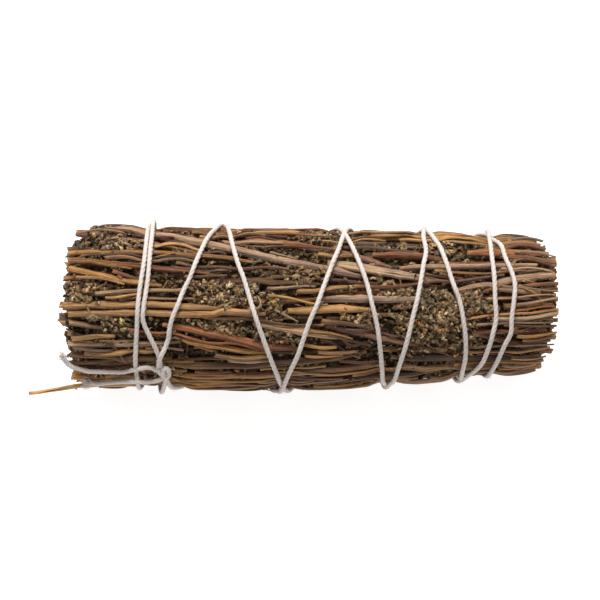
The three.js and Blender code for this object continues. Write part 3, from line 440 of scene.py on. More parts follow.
def seen_route(pixels, distance_at):
    """A route given in the photo's pixels, each with how far it is lifted, in millimetres."""
    fine = []
    for (ax, ay, al), (bx, by, bl) in zip(pixels, pixels[1:]):
        count = max(1, round(math.dist((ax, ay), (bx, by)) / 1.2))
        fine += [(ax + (bx - ax) * k / count, ay + (by - ay) * k / count,
                  al + (bl - al) * k / count) for k in range(count)]
    fine = np.array(fine + [pixels[-1]])
    padded = np.pad(fine, ((2, 2), (0, 0)), mode="edge")
    fine = sum(padded[k:k + len(fine)] for k in range(5)) / 5
    route = []
    for px, py, lift in fine:
        x, angle = from_face(face_point((px, py)), lambda x: distance_at(x) + lift)
        route.append(in_space(x, distance_at(x) + lift, angle))
    return np.array(route)


UP_SEEN = [(165, 378, 0.2), (160, 375, 0.2), (156, 372, 0), (151, 369.8, 0), (146, 369.2, 0.3),
           (140, 370.3, 0.95), (135, 371.3, 0.95), (129, 372.2, 0.2), (122, 372.4, 0),
           (112, 371.6, 0), (103, 371, 0), (94, 371.2, 0), (86, 371.6, 0), (78, 370, 0),
           (70, 367.4, 0), (66, 364, 0), (62, 359, 0)]
DOWN_SEEN = [(164, 379.5, 0.3), (158, 382.4, 0.1), (151, 384, 0), (144, 384.4, 0.4),
             (139, 384, 0.8), (135, 383.9, 0.8), (130, 384, 0.3), (125, 383.9, 0),
             (112, 384.8, 0), (100, 385.4, 0), (89, 385, 0)]
KNOT_SEEN = [(158, 370, 0.4), (159.5, 374, 0.7), (162.5, 378, 1.0), (166.5, 380, 0.9),
             (169, 377, 0.7), (168.4, 372, 0.6), (165, 369.2, 0.8), (162.5, 371.5, 1.0),
             (163, 376.5, 0.7), (166, 382, 0.3)]
LAST_SEEN = [(165.8, 346, 0.1), (163.4, 352, 0.7), (160.7, 357, 1.0), (158.7, 362, 0.6),
             (157.8, 367, 0.3), (158.3, 371, 0.2)]
LAST_ROW = 341              # the last strand is laid again below this row of pixels
LEAD_POINTS, LEAD_SHIFT = 60, 1.9   # the winding's first points lie up to this much further on
tail_up = seen_route(UP_SEEN, read_along(TAIL_UP))
tail_down = seen_route(DOWN_SEEN, read_along(TAIL_DOWN))
knot_loop = seen_route(KNOT_SEEN, string_level)
cut = int(np.flatnonzero(seen_at(winding_path)[:, 1] < LAST_ROW)[-1])
winding_path = np.vstack([winding_path[:cut], seen_route(LAST_SEEN, string_level)])
lead = np.clip(1 - np.arange(len(winding_path)) / LEAD_POINTS, 0, 1)**2
winding_path[:, 0] += LEAD_SHIFT * lead
for title, route in (("upper tail", tail_up), ("lower tail", tail_down), ("knot", knot_loop)):
    print(title, round(length_of(route), 1), "mm")

# %% [markdown]
# ## A heap of small shapes
# A bundle holds thousands of leaf bits and flower heads. Each kind is modelled once, its shape is
# read, and copies of it are turned, sized and heaped into one mesh for each spray, with a colour
# of its own on every copy. The same heap takes stalks that are bent along their centre lines.

# %% Reading a modelled shape, and heaping copies of it
SEED = 4181
rng = np.random.default_rng(SEED)
noise.seed_set(SEED)        # without it noise_vector gives other values in every run


def fresh_start():
    if bpy.context.object and bpy.context.object.mode != "OBJECT":
        bpy.ops.object.mode_set(mode="OBJECT")
    bpy.ops.object.select_all(action="DESELECT")


def face_arrays(faces):
    """The corners of all the faces in a row, how many each has, and the first finish for all."""
    return {"index": np.array([v for face in faces for v in face], dtype=np.int64),
            "sizes": np.array([len(face) for face in faces], dtype=np.int64),
            "slots": np.zeros(len(faces), dtype=np.int64)}


def shape_of(obj):
    """The corners and faces of a finished master, which is then removed."""
    mesh = obj.data
    corners = np.empty(len(mesh.vertices) * 3)
    mesh.vertices.foreach_get("co", corners)
    faces = [tuple(face.vertices) for face in mesh.polygons]
    slots = np.array([face.material_index for face in mesh.polygons])
    bpy.data.objects.remove(obj)
    bpy.data.meshes.remove(mesh)
    return dict(face_arrays(faces), co=corners.reshape(-1, 3), slots=slots)


# %% A heap of copies
class Heap:
    """Collects copies of shapes, with a colour and a grain for each corner, into one mesh."""

    def __init__(self):
        self.parts = []
        self.corners = 0

    def add(self, shape, places, colour, grain=None):
        count = len(places)
        colour = np.broadcast_to(colour, (count, 3))
        grain = np.zeros((count, 3)) if grain is None else grain
        self.parts.append((places, shape["index"] + self.corners, shape["sizes"],
                           shape["slots"], colour, grain))
        self.corners += count

    def make(self, name, materials):
        columns = [np.concatenate(column) for column in zip(*self.parts)]
        places, index, sizes, slots, colour, grain = columns
        mesh = bpy.data.meshes.new(name)
        mesh.vertices.add(len(places))
        inside = np.clip(places * MM, np.array(cad_low), np.array(cad_high))
        mesh.vertices.foreach_set("co", inside.ravel())
        mesh.loops.add(len(index))
        mesh.loops.foreach_set("vertex_index", index)
        mesh.polygons.add(len(sizes))
        mesh.polygons.foreach_set("loop_start", np.concatenate([[0], np.cumsum(sizes)[:-1]]))
        mesh.polygons.foreach_set("material_index", slots)
        mesh.polygons.foreach_set("use_smooth", np.ones(len(sizes), dtype=bool))
        tint = mesh.attributes.new("tint", "FLOAT_COLOR", "POINT")
        tint.data.foreach_set("color", np.hstack([colour, np.ones((len(colour), 1))]).ravel())
        along = mesh.attributes.new("grain", "FLOAT_VECTOR", "POINT")
        along.data.foreach_set("vector", grain.ravel())
        for material in materials:
            mesh.materials.append(material)
        mesh.update()
        mesh.validate()
        piece = bpy.data.objects.new(name, mesh)
        bpy.context.scene.collection.objects.link(piece)
        return piece


def triangle_count(piece):
    return sum(len(face.vertices) - 2 for face in piece.data.polygons)


# %% [markdown]
# ## Finishes
# Dried bark has fine ribs and long streaks, from red-brown through ochre to a lilac-grey film.
# Leaves and flower heads are matt and felted. The string is soft cotton, whitest on top, with
# painted shade in the grooves between its plies. Every finish reads the colour of its own copy from
# the tint attribute, and streaks that run along a stalk from the grain attribute, which follows the
# stalk through every bend.

# %% A node group for dry fibres, used in bark, cut wood and cotton
def group_of(title, inputs, outputs):
    group = bpy.data.node_groups.new(title, "ShaderNodeTree")
    for name, kind, default in inputs:
        socket = group.interface.new_socket(name=name, in_out="INPUT", socket_type=kind)
        if default is not None:
            socket.default_value = default
    for name, kind in outputs:
        group.interface.new_socket(name=name, in_out="OUTPUT", socket_type=kind)
    return group


def link(tree, start, end):
    tree.links.new(start, end)


def noise_node(tree, vector, scale, detail=4.0, roughness=0.6):
    node = tree.nodes.new("ShaderNodeTexNoise")
    node.inputs["Scale"].default_value = scale
    node.inputs["Detail"].default_value = detail
    node.inputs["Roughness"].default_value = roughness
    link(tree, vector, node.inputs["Vector"])
    return node


def ramp_node(tree, factor, low, high, greys=(0, 1)):
    """Values up to low become the first grey, values from high on the second one."""
    node = tree.nodes.new("ShaderNodeValToRGB")
    for element, place, grey in zip(node.color_ramp.elements, (low, high), greys):
        element.position = place
        element.color = (grey, grey, grey, 1)
    link(tree, factor, node.inputs["Fac"])
    return node.outputs["Color"]


def mix_node(tree, factor, a, b, blend="MIX"):
    node = tree.nodes.new("ShaderNodeMix")
    node.data_type = "RGBA"
    node.blend_type = blend
    for socket, value in ((node.inputs[0], factor), (node.inputs[6], a), (node.inputs[7], b)):
        if isinstance(value, (float, int)):
            socket.default_value = value
        elif isinstance(value, tuple):
            socket.default_value = (*value, 1)
        else:
            link(tree, value, socket)
    return node.outputs[2]


def math_node(tree, kind, a, b):
    node = tree.nodes.new("ShaderNodeMath")
    node.operation = kind
    for socket, value in zip(node.inputs, (a, b)):
        if isinstance(value, (float, int)):
            socket.default_value = value
        else:
            link(tree, value, socket)
    return node.outputs[0]


def dry_fibre_group():
    """Streaks and threads that run along the third axis of the grain."""
    group = group_of("dry fibre", [("Grain", "NodeSocketVector", None),
                                   ("Fineness", "NodeSocketFloat", 3.0)],
                     [("Streaks", "NodeSocketFloat"), ("Threads", "NodeSocketFloat")])
    start = group.nodes.new("NodeGroupInput")
    end = group.nodes.new("NodeGroupOutput")
    for title, factor, low, high in (("Streaks", 1.0, 0.4, 0.62), ("Threads", 3.1, 0.34, 0.66)):
        spread = noise_node(group, start.outputs["Grain"], 3.0, detail=3.0)
        scale = math_node(group, "MULTIPLY", start.outputs["Fineness"], factor)
        link(group, scale, spread.inputs["Scale"])
        link(group, ramp_node(group, spread.outputs["Fac"], low, high), end.inputs[title])
    return group


dry_fibre = dry_fibre_group()
print("group:", dry_fibre.name, [s.name for s in dry_fibre.interface.items_tree])


# %% The four finishes
def new_finish(title, roughness):
    material = bpy.data.materials.new(title)
    material.use_nodes = True
    tree = material.node_tree
    shader = tree.nodes["Principled BSDF"]
    shader.inputs["Specular IOR Level"].default_value = 0.25
    shader.inputs["Roughness"].default_value = roughness
    return material, tree, shader


def attribute(tree, name, output):
    node = tree.nodes.new("ShaderNodeAttribute")
    node.attribute_name = name
    return node.outputs[output]


def times(tree, colour, factors):
    """The colour with its red, green and blue multiplied."""
    return mix_node(tree, 1.0, colour, factors, "MULTIPLY")


def bump(tree, shader, height, strength, distance):
    node = tree.nodes.new("ShaderNodeBump")
    node.inputs["Strength"].default_value = strength
    node.inputs["Distance"].default_value = distance * MM
    link(tree, height, node.inputs["Height"])
    link(tree, node.outputs["Normal"], shader.inputs["Normal"])


def fibres(tree, grain, fineness):
    node = tree.nodes.new("ShaderNodeGroup")
    node.node_tree = dry_fibre
    node.inputs["Fineness"].default_value = fineness
    link(tree, grain, node.inputs["Grain"])
    return node


def bark_finish():
    material, tree, shader = new_finish("ribbed bark", 0.64)
    tint = attribute(tree, "tint", "Color")
    grain = attribute(tree, "grain", "Vector")
    ribs = fibres(tree, grain, 1.9)
    fine = fibres(tree, grain, 4.4)
    patches = noise_node(tree, grain, 0.55, detail=3.0)
    pale = mix_node(tree, 0.35, times(tree, tint, (2.7, 2.2, 1.6)), (0.6, 0.36, 0.15))
    streaked = mix_node(tree, ribs.outputs["Streaks"], times(tree, tint, (0.17, 0.13, 0.13)),
                        times(tree, tint, (1.25, 1.2, 1.15)))
    streaked = mix_node(tree, math_node(tree, "MULTIPLY", fine.outputs["Streaks"], 0.6), streaked,
                        times(tree, tint, (2.3, 2.0, 1.65)))
    peeled = ramp_node(tree, patches.outputs["Fac"], 0.46, 0.58)
    peel = math_node(tree, "MULTIPLY", peeled, ribs.outputs["Threads"])
    coloured = mix_node(tree, peel, streaked, pale)
    film = ramp_node(tree, patches.outputs["Fac"], 0.34, 0.46, greys=(1, 0))
    filmed = math_node(tree, "MULTIPLY", film, fine.outputs["Threads"])
    coloured = mix_node(tree, math_node(tree, "MULTIPLY", filmed, 0.75), coloured,
                        (0.36, 0.27, 0.23))
    link(tree, coloured, shader.inputs["Base Color"])
    height = math_node(tree, "ADD", ribs.outputs["Streaks"], fine.outputs["Threads"])
    bump(tree, shader, height, 0.9, 0.2)
    return material


def cut_wood_finish():
    material, tree, shader = new_finish("cut wood", 0.85)
    grain = attribute(tree, "grain", "Vector")
    tint = attribute(tree, "tint", "Color")
    rings = fibres(tree, grain, 2.6)
    pale = mix_node(tree, 0.75, tint, (0.52, 0.38, 0.2))
    deep = mix_node(tree, 0.6, tint, (0.2, 0.12, 0.06))
    coloured = mix_node(tree, rings.outputs["Streaks"], deep, pale)
    link(tree, coloured, shader.inputs["Base Color"])
    bump(tree, shader, rings.outputs["Threads"], 0.6, 0.15)
    return material


def leaf_finish():
    material, tree, shader = new_finish("dry leaf", 0.9)
    place = tree.nodes.new("ShaderNodeTexCoord").outputs["Object"]
    tint = attribute(tree, "tint", "Color")
    mottle = noise_node(tree, place, 1900.0, detail=4.0)
    felt = noise_node(tree, place, 5200.0, detail=3.0)
    coloured = mix_node(tree, ramp_node(tree, mottle.outputs["Fac"], 0.4, 0.62),
                        times(tree, tint, (0.3, 0.27, 0.25)), times(tree, tint, (2.0, 1.9, 1.75)))
    link(tree, coloured, shader.inputs["Base Color"])
    height = math_node(tree, "ADD", mottle.outputs["Fac"], felt.outputs["Fac"])
    bump(tree, shader, height, 0.9, 0.3)
    return material


def cotton_finish():
    material, tree, shader = new_finish("cotton", 0.95)
    grain = attribute(tree, "grain", "Vector")
    tint = attribute(tree, "tint", "Color")
    threads = fibres(tree, grain, 2.0)
    shade = times(tree, tint, (0.8, 0.77, 0.76))
    coloured = mix_node(tree, threads.outputs["Streaks"], shade, tint)
    link(tree, coloured, shader.inputs["Base Color"])
    shader.inputs["Sheen Weight"].default_value = 0.15
    bump(tree, shader, threads.outputs["Threads"], 0.4, 0.06)
    return material


bark, cut_wood, dry_leaf, cotton = bark_finish(), cut_wood_finish(), leaf_finish(), cotton_finish()
print("finishes:", bark.name, cut_wood.name, dry_leaf.name, cotton.name)

# %% [markdown]
# ## Stalks
# A dried mugwort stalk is ribbed, swells a little at each joint where a leaf stood, and is cut
# square or torn at its ends, where paler wood and a sunk pith show. It could be drawn as a curve
# with a bevel, but then it would have no ribs and no real ends. So one rod is modelled from a
# cylinder: its long edges are subdivided into rings, and each end face is inset. Every stalk is a
# copy of that rod, bent along its own centre line.

# %% The rod that every stalk is bent from
ROD_SIDES, THIN_SIDES = 12, 8
RING_COUNTS = (10, 25, 50, 100)
RING_GAP = 1.05             # the rings of a rod lie at most about this far apart, up to 100 rings


def rod_shape(sides, rings, end_slot=1):
    """A ribless rod of radius 1 and length 1 along z, with a finish of its own on its ends."""
    fresh_start()
    bpy.ops.mesh.primitive_cylinder_add(vertices=sides, radius=1, depth=1)
    rod = bpy.context.object
    bpy.ops.object.mode_set(mode="EDIT")
    bpy.ops.mesh.select_mode(type="EDGE")
    bpy.ops.mesh.select_all(action="DESELECT")
    work = bmesh.from_edit_mesh(rod.data)
    for edge in work.edges:
        edge.select = abs(edge.verts[0].co.z - edge.verts[1].co.z) > 0.5
    bmesh.update_edit_mesh(rod.data)
    bpy.ops.mesh.subdivide(number_cuts=rings - 1)
    bpy.ops.mesh.select_mode(type="FACE")
    bpy.ops.mesh.select_all(action="DESELECT")
    work = bmesh.from_edit_mesh(rod.data)
    for face in work.faces:
        face.select = abs(face.normal.z) > 0.9
        face.material_index = end_slot if face.select else 0
    bmesh.update_edit_mesh(rod.data)
    bpy.ops.mesh.inset(thickness=0.22, use_individual=True)
    bpy.ops.mesh.inset(thickness=0.4, use_individual=True)
    bpy.ops.object.mode_set(mode="OBJECT")
    return shape_of(rod)


RODS = {(sides, rings): rod_shape(sides, rings) for sides in (THIN_SIDES, ROD_SIDES)
        for rings in RING_COUNTS}
THREAD = rod_shape(4, 4, end_slot=0)
print("rod faces:", [len(shape["sizes"]) for shape in RODS.values()])


# %% Bend a rod along a path
def unit(vectors):
    return vectors / np.maximum(np.linalg.norm(vectors, axis=-1, keepdims=True), 1e-9)


def smooth_route(points, count):
    """A route through the points as a soft curve, with its points evenly spaced."""
    points = np.asarray(points, float)
    ends = np.vstack([2 * points[0] - points[1], points, 2 * points[-1] - points[-2]])
    pieces = []
    for i in range(1, len(ends) - 2):
        p0, p1, p2, p3 = ends[i - 1:i + 3]
        t = np.linspace(0, 1, 9)[:-1, None]
        pieces.append(0.5 * (2 * p1 + (p2 - p0) * t + (2 * p0 - 5 * p1 + 4 * p2 - p3) * t**2
                             + (3 * p1 - p0 - 3 * p2 + p3) * t**3))
    fine = np.vstack(pieces + [ends[-2:-1]])
    along = np.concatenate([[0], np.cumsum(steps_of(fine))])
    even = np.linspace(0, along[-1], count)
    columns = [np.interp(even, along, fine[:, k]) for k in range(fine.shape[1])]
    return np.stack(columns, 1), along[-1]


def frames_along(route):
    """Two directions square to the route at every point, carried along without twist."""
    ahead = unit(np.gradient(route, axis=0))
    side = unit(np.cross(ahead[0], [0.0, 0.0, 1.0]))
    sides = []
    for direction in ahead:
        side = unit(side - direction * (side @ direction))
        sides.append(side)
    sides = np.array(sides)
    return ahead, sides, np.cross(ahead, sides)


def waves(values, low, high, count=4):
    """A smooth random wave over the values, between -1 and 1."""
    total = np.zeros_like(values)
    for _ in range(count):
        total += np.sin(values * 2 * math.pi / rng.uniform(low, high) + rng.uniform(0, 7))
    return total / count


# %% Ribs, joints and torn ends on the bent rod
RUBBED_WOOD = (0.5, 0.32, 0.15)     # what shows where the bark is worn off near an end
JOINT_SWELL, JOINT_HALF_LENGTH = 0.16, 0.9
MOST_WOBBLE = 0.16
FLATTENED = 0.09


def bend_rod(heap, points, colour, ribs=0.07, tip=1.0, torn=0.5, sides=THIN_SIDES):
    """Adds a stalk through points of x, y, z and radius."""
    length = length_of(points)
    rings = next((n for n in RING_COUNTS if n >= length / RING_GAP), RING_COUNTS[-1])
    shape = RODS[sides, rings]
    count = 2 * rings + 1
    route, length = smooth_route(points, count)
    millimetres = np.linspace(0, length, count)
    radius = route[:, 3] * np.linspace(1.0, tip, count)
    centre = route[:, :3].copy()
    wobble = min(MOST_WOBBLE, float(radius.mean()) * 0.22)
    ahead, side, other = frames_along(centre)
    centre += side * (waves(millimetres, 6, 22) * wobble)[:, None]
    centre += other * (waves(millimetres, 6, 22) * wobble)[:, None]
    ahead, side, other = frames_along(centre)
    joints = np.cumsum(rng.uniform(7, 19, 16))
    for joint in joints[joints < length - 2]:
        swell = np.exp(-((millimetres - joint) / JOINT_HALF_LENGTH)**2)
        radius = radius * (1 + JOINT_SWELL * swell)
    radius = radius * (1 + 0.06 * waves(millimetres, 3, 11))

    co = shape["co"]
    share = np.clip(co[:, 2] + 0.5, 0, 1)
    out = np.hypot(co[:, 0], co[:, 1])
    turn = np.arctan2(co[:, 1], co[:, 0])
    ribbed = ribs * np.cos(rng.integers(3, 6) * turn + rng.uniform(0, 7) + share * length * 0.05)
    flat = FLATTENED * np.cos(2 * turn + rng.uniform(0, 7) + share * 2.0)
    place = share * (count - 1)
    i = np.minimum(place.astype(int), count - 2)
    t = (place - i)[:, None]

    def carried(values):
        return values[i] * (1 - t) + values[i + 1] * t

    reach = carried(radius[:, None])[:, 0] * out * (1 + np.where(out > 0.9, ribbed + flat, 0))
    at_end = np.where(share < 1e-4, -1.0, 0.0) + np.where(share > 1 - 1e-4, 1.0, 0.0)
    jag = torn * np.abs(waves(turn * 2.0 + 9, 1.0, 4.0)) * (out > 0.6) - 0.55 * (out < 0.5)
    slant = rng.uniform(-0.5, 0.5) * np.cos(turn + rng.uniform(0, 7)) * out
    ends_move = at_end * carried(radius[:, None])[:, 0] * (jag + slant * at_end)
    places = (carried(centre) + carried(side) * (reach * np.cos(turn))[:, None]
              + carried(other) * (reach * np.sin(turn))[:, None]
              + carried(ahead) * ends_move[:, None])
    start = rng.uniform(-40, 40, 3)
    grain = np.stack([np.cos(turn) * out, np.sin(turn) * out, share * length * 0.045], 1) + start
    shade = np.asarray(colour) * (1 + 0.18 * waves(share * length, 4, 30))[:, None]
    from_end = np.minimum(share, 1 - share) * length
    rubbed = rng.uniform(0.0, 0.85) * np.exp(-from_end / rng.uniform(0.4, 1.6))[:, None]
    shade = shade * (1 - rubbed) + np.array(RUBBED_WOOD) * rubbed
    heap.add(shape, places, np.clip(shade, 0.005, 1), grain)
    return centre, radius, ahead, side, other


# %% [markdown]
# ## What each stalk is coloured like
# The bundle mixes stalks of many ages: fresh-cut red-brown ones, sun-bleached ochre and tan ones,
# purple side shoots and old grey ones.

# %% Bark colours
BARK_COLOURS = {"red": (0.19, 0.076, 0.038), "purple": (0.135, 0.075, 0.058),
                "grey": (0.33, 0.235, 0.172), "gold": (0.33, 0.182, 0.066),
                "tan": (0.38, 0.235, 0.11), "dark": (0.085, 0.045, 0.028)}
STALKS_OF = {"grey": (1, 11, 19, 22, 23, 27, 28, 34, 40, 46),
             "red": (2, 3, 4, 6, 14, 26, 29, 30, 33, 39, 45),
             "gold": (5, 7, 13, 15, 17, 25, 32, 36, 42), "tan": (8, 21, 38, 44),
             "purple": (9, 10, 24, 37, 43), "dark": (12, 16, 18, 20, 31, 35, 41)}


def pick(choices):
    return choices[rng.integers(len(choices))]


def bark_colour(name):
    base = np.array(BARK_COLOURS[name])
    return base * rng.uniform(0.72, 1.36) * rng.uniform(0.95, 1.05, 3)


def colour_of_node(node):
    if node == "stray_twig":
        return np.array(BARK_COLOURS["tan"]) * 1.9
    number = int(node[-2:])
    return bark_colour(next(name for name, stalks in STALKS_OF.items() if number in stalks))


# %% Stubs of leaf stems, and where the bundle was cut
STALK_FULLER = 0.13         # a real stalk touches its neighbours, where solids keep a gap
INNER_ENDS = (-45, 44)      # a stalk that ends between these ends under the other stalks
PUSHED_IN, PUSHED_LENGTH = 0.5, 3.0
MADE_THINNER = 0.45


def add_stubs(heap, stalk, colour, count):
    """Short stubs of broken leaf stems, all along the stalk."""
    centre, radius, ahead, side, other = stalk
    for _ in range(count):
        i = int(rng.integers(2, len(centre) - 2))
        turn = rng.uniform(0, 2 * math.pi)
        out = side[i] * math.cos(turn) + other[i] * math.sin(turn)
        lean = unit(out + ahead[i] * rng.uniform(-1.4, 1.4))
        length = rng.uniform(0.4, 1.1)
        root = centre[i] + out * radius[i] * 0.5
        thick = radius[i] * rng.uniform(0.28, 0.45)
        points = [(*(root + lean * length * t), thick * (1 - 0.35 * t)) for t in (0, 0.5, 1)]
        bend_rod(heap, points, colour * rng.uniform(0.8, 1.5), ribs=0.0)


RIGHT_END = curve_through([(-3.2, 49), (-1.9, 48), (-1.4, 47.2), (-0.6, 49.8), (0.1, 51),
                           (0.6, 50.5), (1.1, 49.4), (1.45, 46.4), (1.9, 48), (3.2, 49)])
LEFT_END = curve_through([(-3.2, -49.4), (-1.9, -49), (-1.3, -48.8), (-0.6, -50),
                          (0.1, -50), (0.7, -49.6), (1.1, -48.6), (1.45, -45.6), (1.9, -47.5),
                          (3.2, -49.4)])


def cut_ends(angle):
    """Where the bundle was cut, at the left and at the right, in this direction."""
    return float(LEFT_END(angle)), float(RIGHT_END(angle))


def trimmed(track):
    """The track cut where the bundle was cut, a little unevenly."""
    _, _, angle = around_axis(np.median(track[:, :3], axis=0))
    left, right = cut_ends((angle + math.pi) % (2 * math.pi) - math.pi)
    low = max(track[0, 0], left + SHIFT[0] + rng.uniform(-1.2, 0.3))
    high = min(track[-1, 0], right + SHIFT[0] + rng.uniform(-0.3, 1.2))
    xs = np.linspace(low, high, max(4, len(track)))
    return np.stack([np.interp(xs, track[:, 0], track[:, k]) for k in range(4)], 1)


def tucked(track):
    """The track with an end that lies away from the stick's ends made thinner and pushed in."""
    points = trimmed(track)
    x = points[:, 0] - SHIFT[0]
    for end, inside in ((0, x[0] > INNER_ENDS[0]), (-1, x[-1] < INNER_ENDS[1])):
        if inside:
            near = np.exp(-(np.abs(x - x[end]) / PUSHED_LENGTH)**2)
            axis = np.stack([axis_side(x) + SHIFT[1], axis_height(x)], 1)
            points[:, 1:3] += unit(axis - points[:, 1:3]) * (PUSHED_IN * near)[:, None]
            points[:, 3] *= 1 - MADE_THINNER * near
    return points


# %% Dress every stalk
stalk_pieces = {}
for node in woody_nodes:
    heap = Heap()
    colour = colour_of_node(node)
    for track in tracks[node]:
        points = tucked(track) if node != "stray_twig" else track.copy()
        points[:, 3] += STALK_FULLER
        stalk = bend_rod(heap, points, colour, sides=ROD_SIDES)
        add_stubs(heap, stalk, colour, 2 + len(stalk[0]) // 60)
    name = "bark_" + node.replace("woody_", "") if node != "stray_twig" else "bark_stray_twig"
    piece = heap.make(name, [bark, cut_wood])
    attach(piece, "root")
    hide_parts(node)
    stalk_pieces[node] = piece
print("stalks:", len(stalk_pieces), "pieces,",
      sum(triangle_count(piece) for piece in stalk_pieces.values()), "triangles")

# %% [markdown]
# ## String
# Butcher's twine is three plies twisted together. Its outline is that of three touching cords, and
# the outline turns as it runs along the route. It was pulled tight, so it is a little thinner than
# a loose string, and where it does not carry the stick it is drawn in until it presses on the
# stalks.

# %% The twisted string
PLY_OFFSET, PLY_RADIUS = 0.3, 0.7        # shares of the string's radius
TWIST_LENGTH = 3.6
STRING_STEP = 0.36
STRING_SIDES = 15
DEEPEST, PROUDEST = 0.5, 0.12            # how far the string moves in, and out, at most
PRESSED = 0.1                            # how far it sinks into what it lies on
PULLED_THIN = 0.93                       # under tension, as a share of its loose thickness
TAUT = 0.05                              # how far its middle stays outside the bundle's surface
COTTON = np.array([0.67, 0.605, 0.55])
FAR_OFF = 9.0                            # what counts as free space where nothing is near


def ply_outline(turn):
    """The radius of three touching plies in this direction, as a share of the string's."""
    third = (turn + math.pi / 3) % (2 * math.pi / 3) - math.pi / 3
    return PLY_OFFSET * np.cos(third) + np.sqrt(PLY_RADIUS**2 - (PLY_OFFSET * np.sin(third))**2)


def room_to_stalks(route):
    """Free space between the string along a route and the nearest stalk, at every point."""
    room = np.full(len(route), FAR_OFF)
    for track in all_tracks:
        beside = (route[:, 0] > track[0, 0]) & (route[:, 0] < track[-1, 0])
        y, z, r = (np.interp(route[:, 0], track[:, 0], track[:, k]) for k in (1, 2, 3))
        gap = np.hypot(route[:, 1] - y, route[:, 2] - z) - r - STALK_FULLER - STRING_RADIUS
        room = np.where(beside, np.minimum(room, gap), room)
    return room


def drawn_in(route):
    """The route moved in until it presses on the stalks, but not where the stick rests on it."""
    x = route[:, 0] - SHIFT[0]
    axis = np.stack([route[:, 0], axis_side(x) + SHIFT[1], axis_height(x)], 1)
    inward = unit(axis - route)
    distance = np.linalg.norm(axis - route, axis=1)
    free = np.clip((route[:, 2] - 1.5) / 2.5, 0, 1)
    draw = np.clip(room_to_stalks(route) + PRESSED, -PROUDEST, DEEPEST)
    padded = np.pad(draw, 4, mode="edge")
    draw = np.min([padded[k:k + len(draw)] for k in range(9)], axis=0)
    draw = evened(np.minimum(evened(draw, 4), distance - radius_at(x) - TAUT), 3)
    return route + inward * (draw * free * free * (3 - 2 * free))[:, None]


def twine(heap, route, fullness=None):
    """Adds twisted string along a route, thicker or thinner by a rule over its length."""
    route = drawn_in(np.asarray(route))
    length = length_of(route)
    count = max(4, round(length / STRING_STEP) + 1)
    along = np.concatenate([[0], np.cumsum(steps_of(route))])
    even = np.linspace(0, length, count)
    centre = np.stack([np.interp(even, along, route[:, k]) for k in range(3)], 1)
    ahead, side, other = frames_along(centre)
    share = np.linspace(0, 1, count)
    full = np.ones(count) if fullness is None else fullness(share)
    full = full * (1 + 0.035 * waves(even, 2, 9))
    base = np.arange(STRING_SIDES) * 2 * math.pi / STRING_SIDES
    places, grain = [], []
    for k in range(count):
        turn = base + even[k] * 2 * math.pi / TWIST_LENGTH
        reach = PULLED_THIN * STRING_RADIUS * full[k] * ply_outline(base)
        places.append(centre[k] + np.outer(reach * np.cos(turn), side[k])
                      + np.outer(reach * np.sin(turn), other[k]))
        grain.append(np.stack([3 * np.cos(base), 3 * np.sin(base),
                               np.full(STRING_SIDES, even[k] * 0.35)], 1))
    faces = [list(range(STRING_SIDES))[::-1]]
    for k in range(count - 1):
        a = k * STRING_SIDES
        for j in range(STRING_SIDES):
            n = (j + 1) % STRING_SIDES
            faces.append([a + j, a + n, a + STRING_SIDES + n, a + STRING_SIDES + j])
    faces.append([(count - 1) * STRING_SIDES + j for j in range(STRING_SIDES)])
    # painted shade: the string's colour is darker in the grooves between its plies and lightest on
    # their crests
    unshaded_crest_share = np.tile(np.cos(3 * base) * 0.5 + 0.5, count)[:, None]
    heap.add(face_arrays(faces), np.vstack(places), COTTON * (0.84 + 0.16 * unshaded_crest_share),
             np.vstack(grain))
    return centre, ahead, side, other


# %% Lay the string, with fine ends of cotton that stand out of it
def loose_fibres(heap, centre, ahead, side, other, count, length, spread, from_end=None):
    """Fine ends of cotton that stand out of the string."""
    for _ in range(count):
        i = int(rng.integers(1, len(centre) - 1)) if from_end is None else from_end
        turn = rng.uniform(0, 2 * math.pi)
        out = side[i] * math.cos(turn) + other[i] * math.sin(turn)
        lean = unit(out * spread + ahead[i] * rng.uniform(0.5, 1.0) * rng.choice([-1, 1]))
        if from_end is not None:
            lean = unit(out * rng.uniform(0, spread) + ahead[i])
        reach = rng.uniform(0.5, 1.0) * length
        start = centre[i] + out * STRING_RADIUS * (0.8 if from_end is None else rng.uniform(0, 0.8))
        curl = unit(rng.normal(size=3)) * reach * 0.25
        thick = 0.03 if from_end is None else rng.uniform(0.05, 0.11)
        points = [start, start + lean * reach * 0.5 + curl, start + lean * reach]
        add_thread(heap, points, thick, COTTON)


def add_thread(heap, points, thick, colour):
    route, _ = smooth_route(np.array(points), 9)
    ahead, side, other = frames_along(route)
    co = THREAD["co"]
    i = np.clip(np.round((co[:, 2] + 0.5) * 8).astype(int), 0, 8)
    places = route[i] + side[i] * co[:, :1] * thick + other[i] * co[:, 1:2] * thick
    heap.add(THREAD, places, colour)


heap = Heap()
strand = twine(heap, winding_path)
loose_fibres(heap, *strand, 260, 0.9, 1.0)
for route in (tail_up, tail_down):
    tail = twine(heap, route, lambda t: 1 + 0.22 * np.clip((t - 0.8) / 0.2, 0, 1))
    loose_fibres(heap, *tail, 18, 1.0, 1.2)
    loose_fibres(heap, *tail, 26, 2.4, 0.55, from_end=len(tail[0]) - 2)
knot = twine(heap, knot_loop, lambda t: 1.06 + 0 * t)
loose_fibres(heap, *knot, 24, 1.4, 1.6)
string_piece = heap.make("twisted_string", [cotton])
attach(string_piece, "root")
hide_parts("binding_string")
print("string:", triangle_count(string_piece), "triangles")

# %% [markdown]
# ## Thin side shoots
# Between the stalks run many thinner side shoots of the same plants, a third to two thirds of
# their width. They are too fine and too many to be solids of their own, so they are laid here by
# a seeded rule: a shoot is kept where it clears everything that already lies in the bundle.

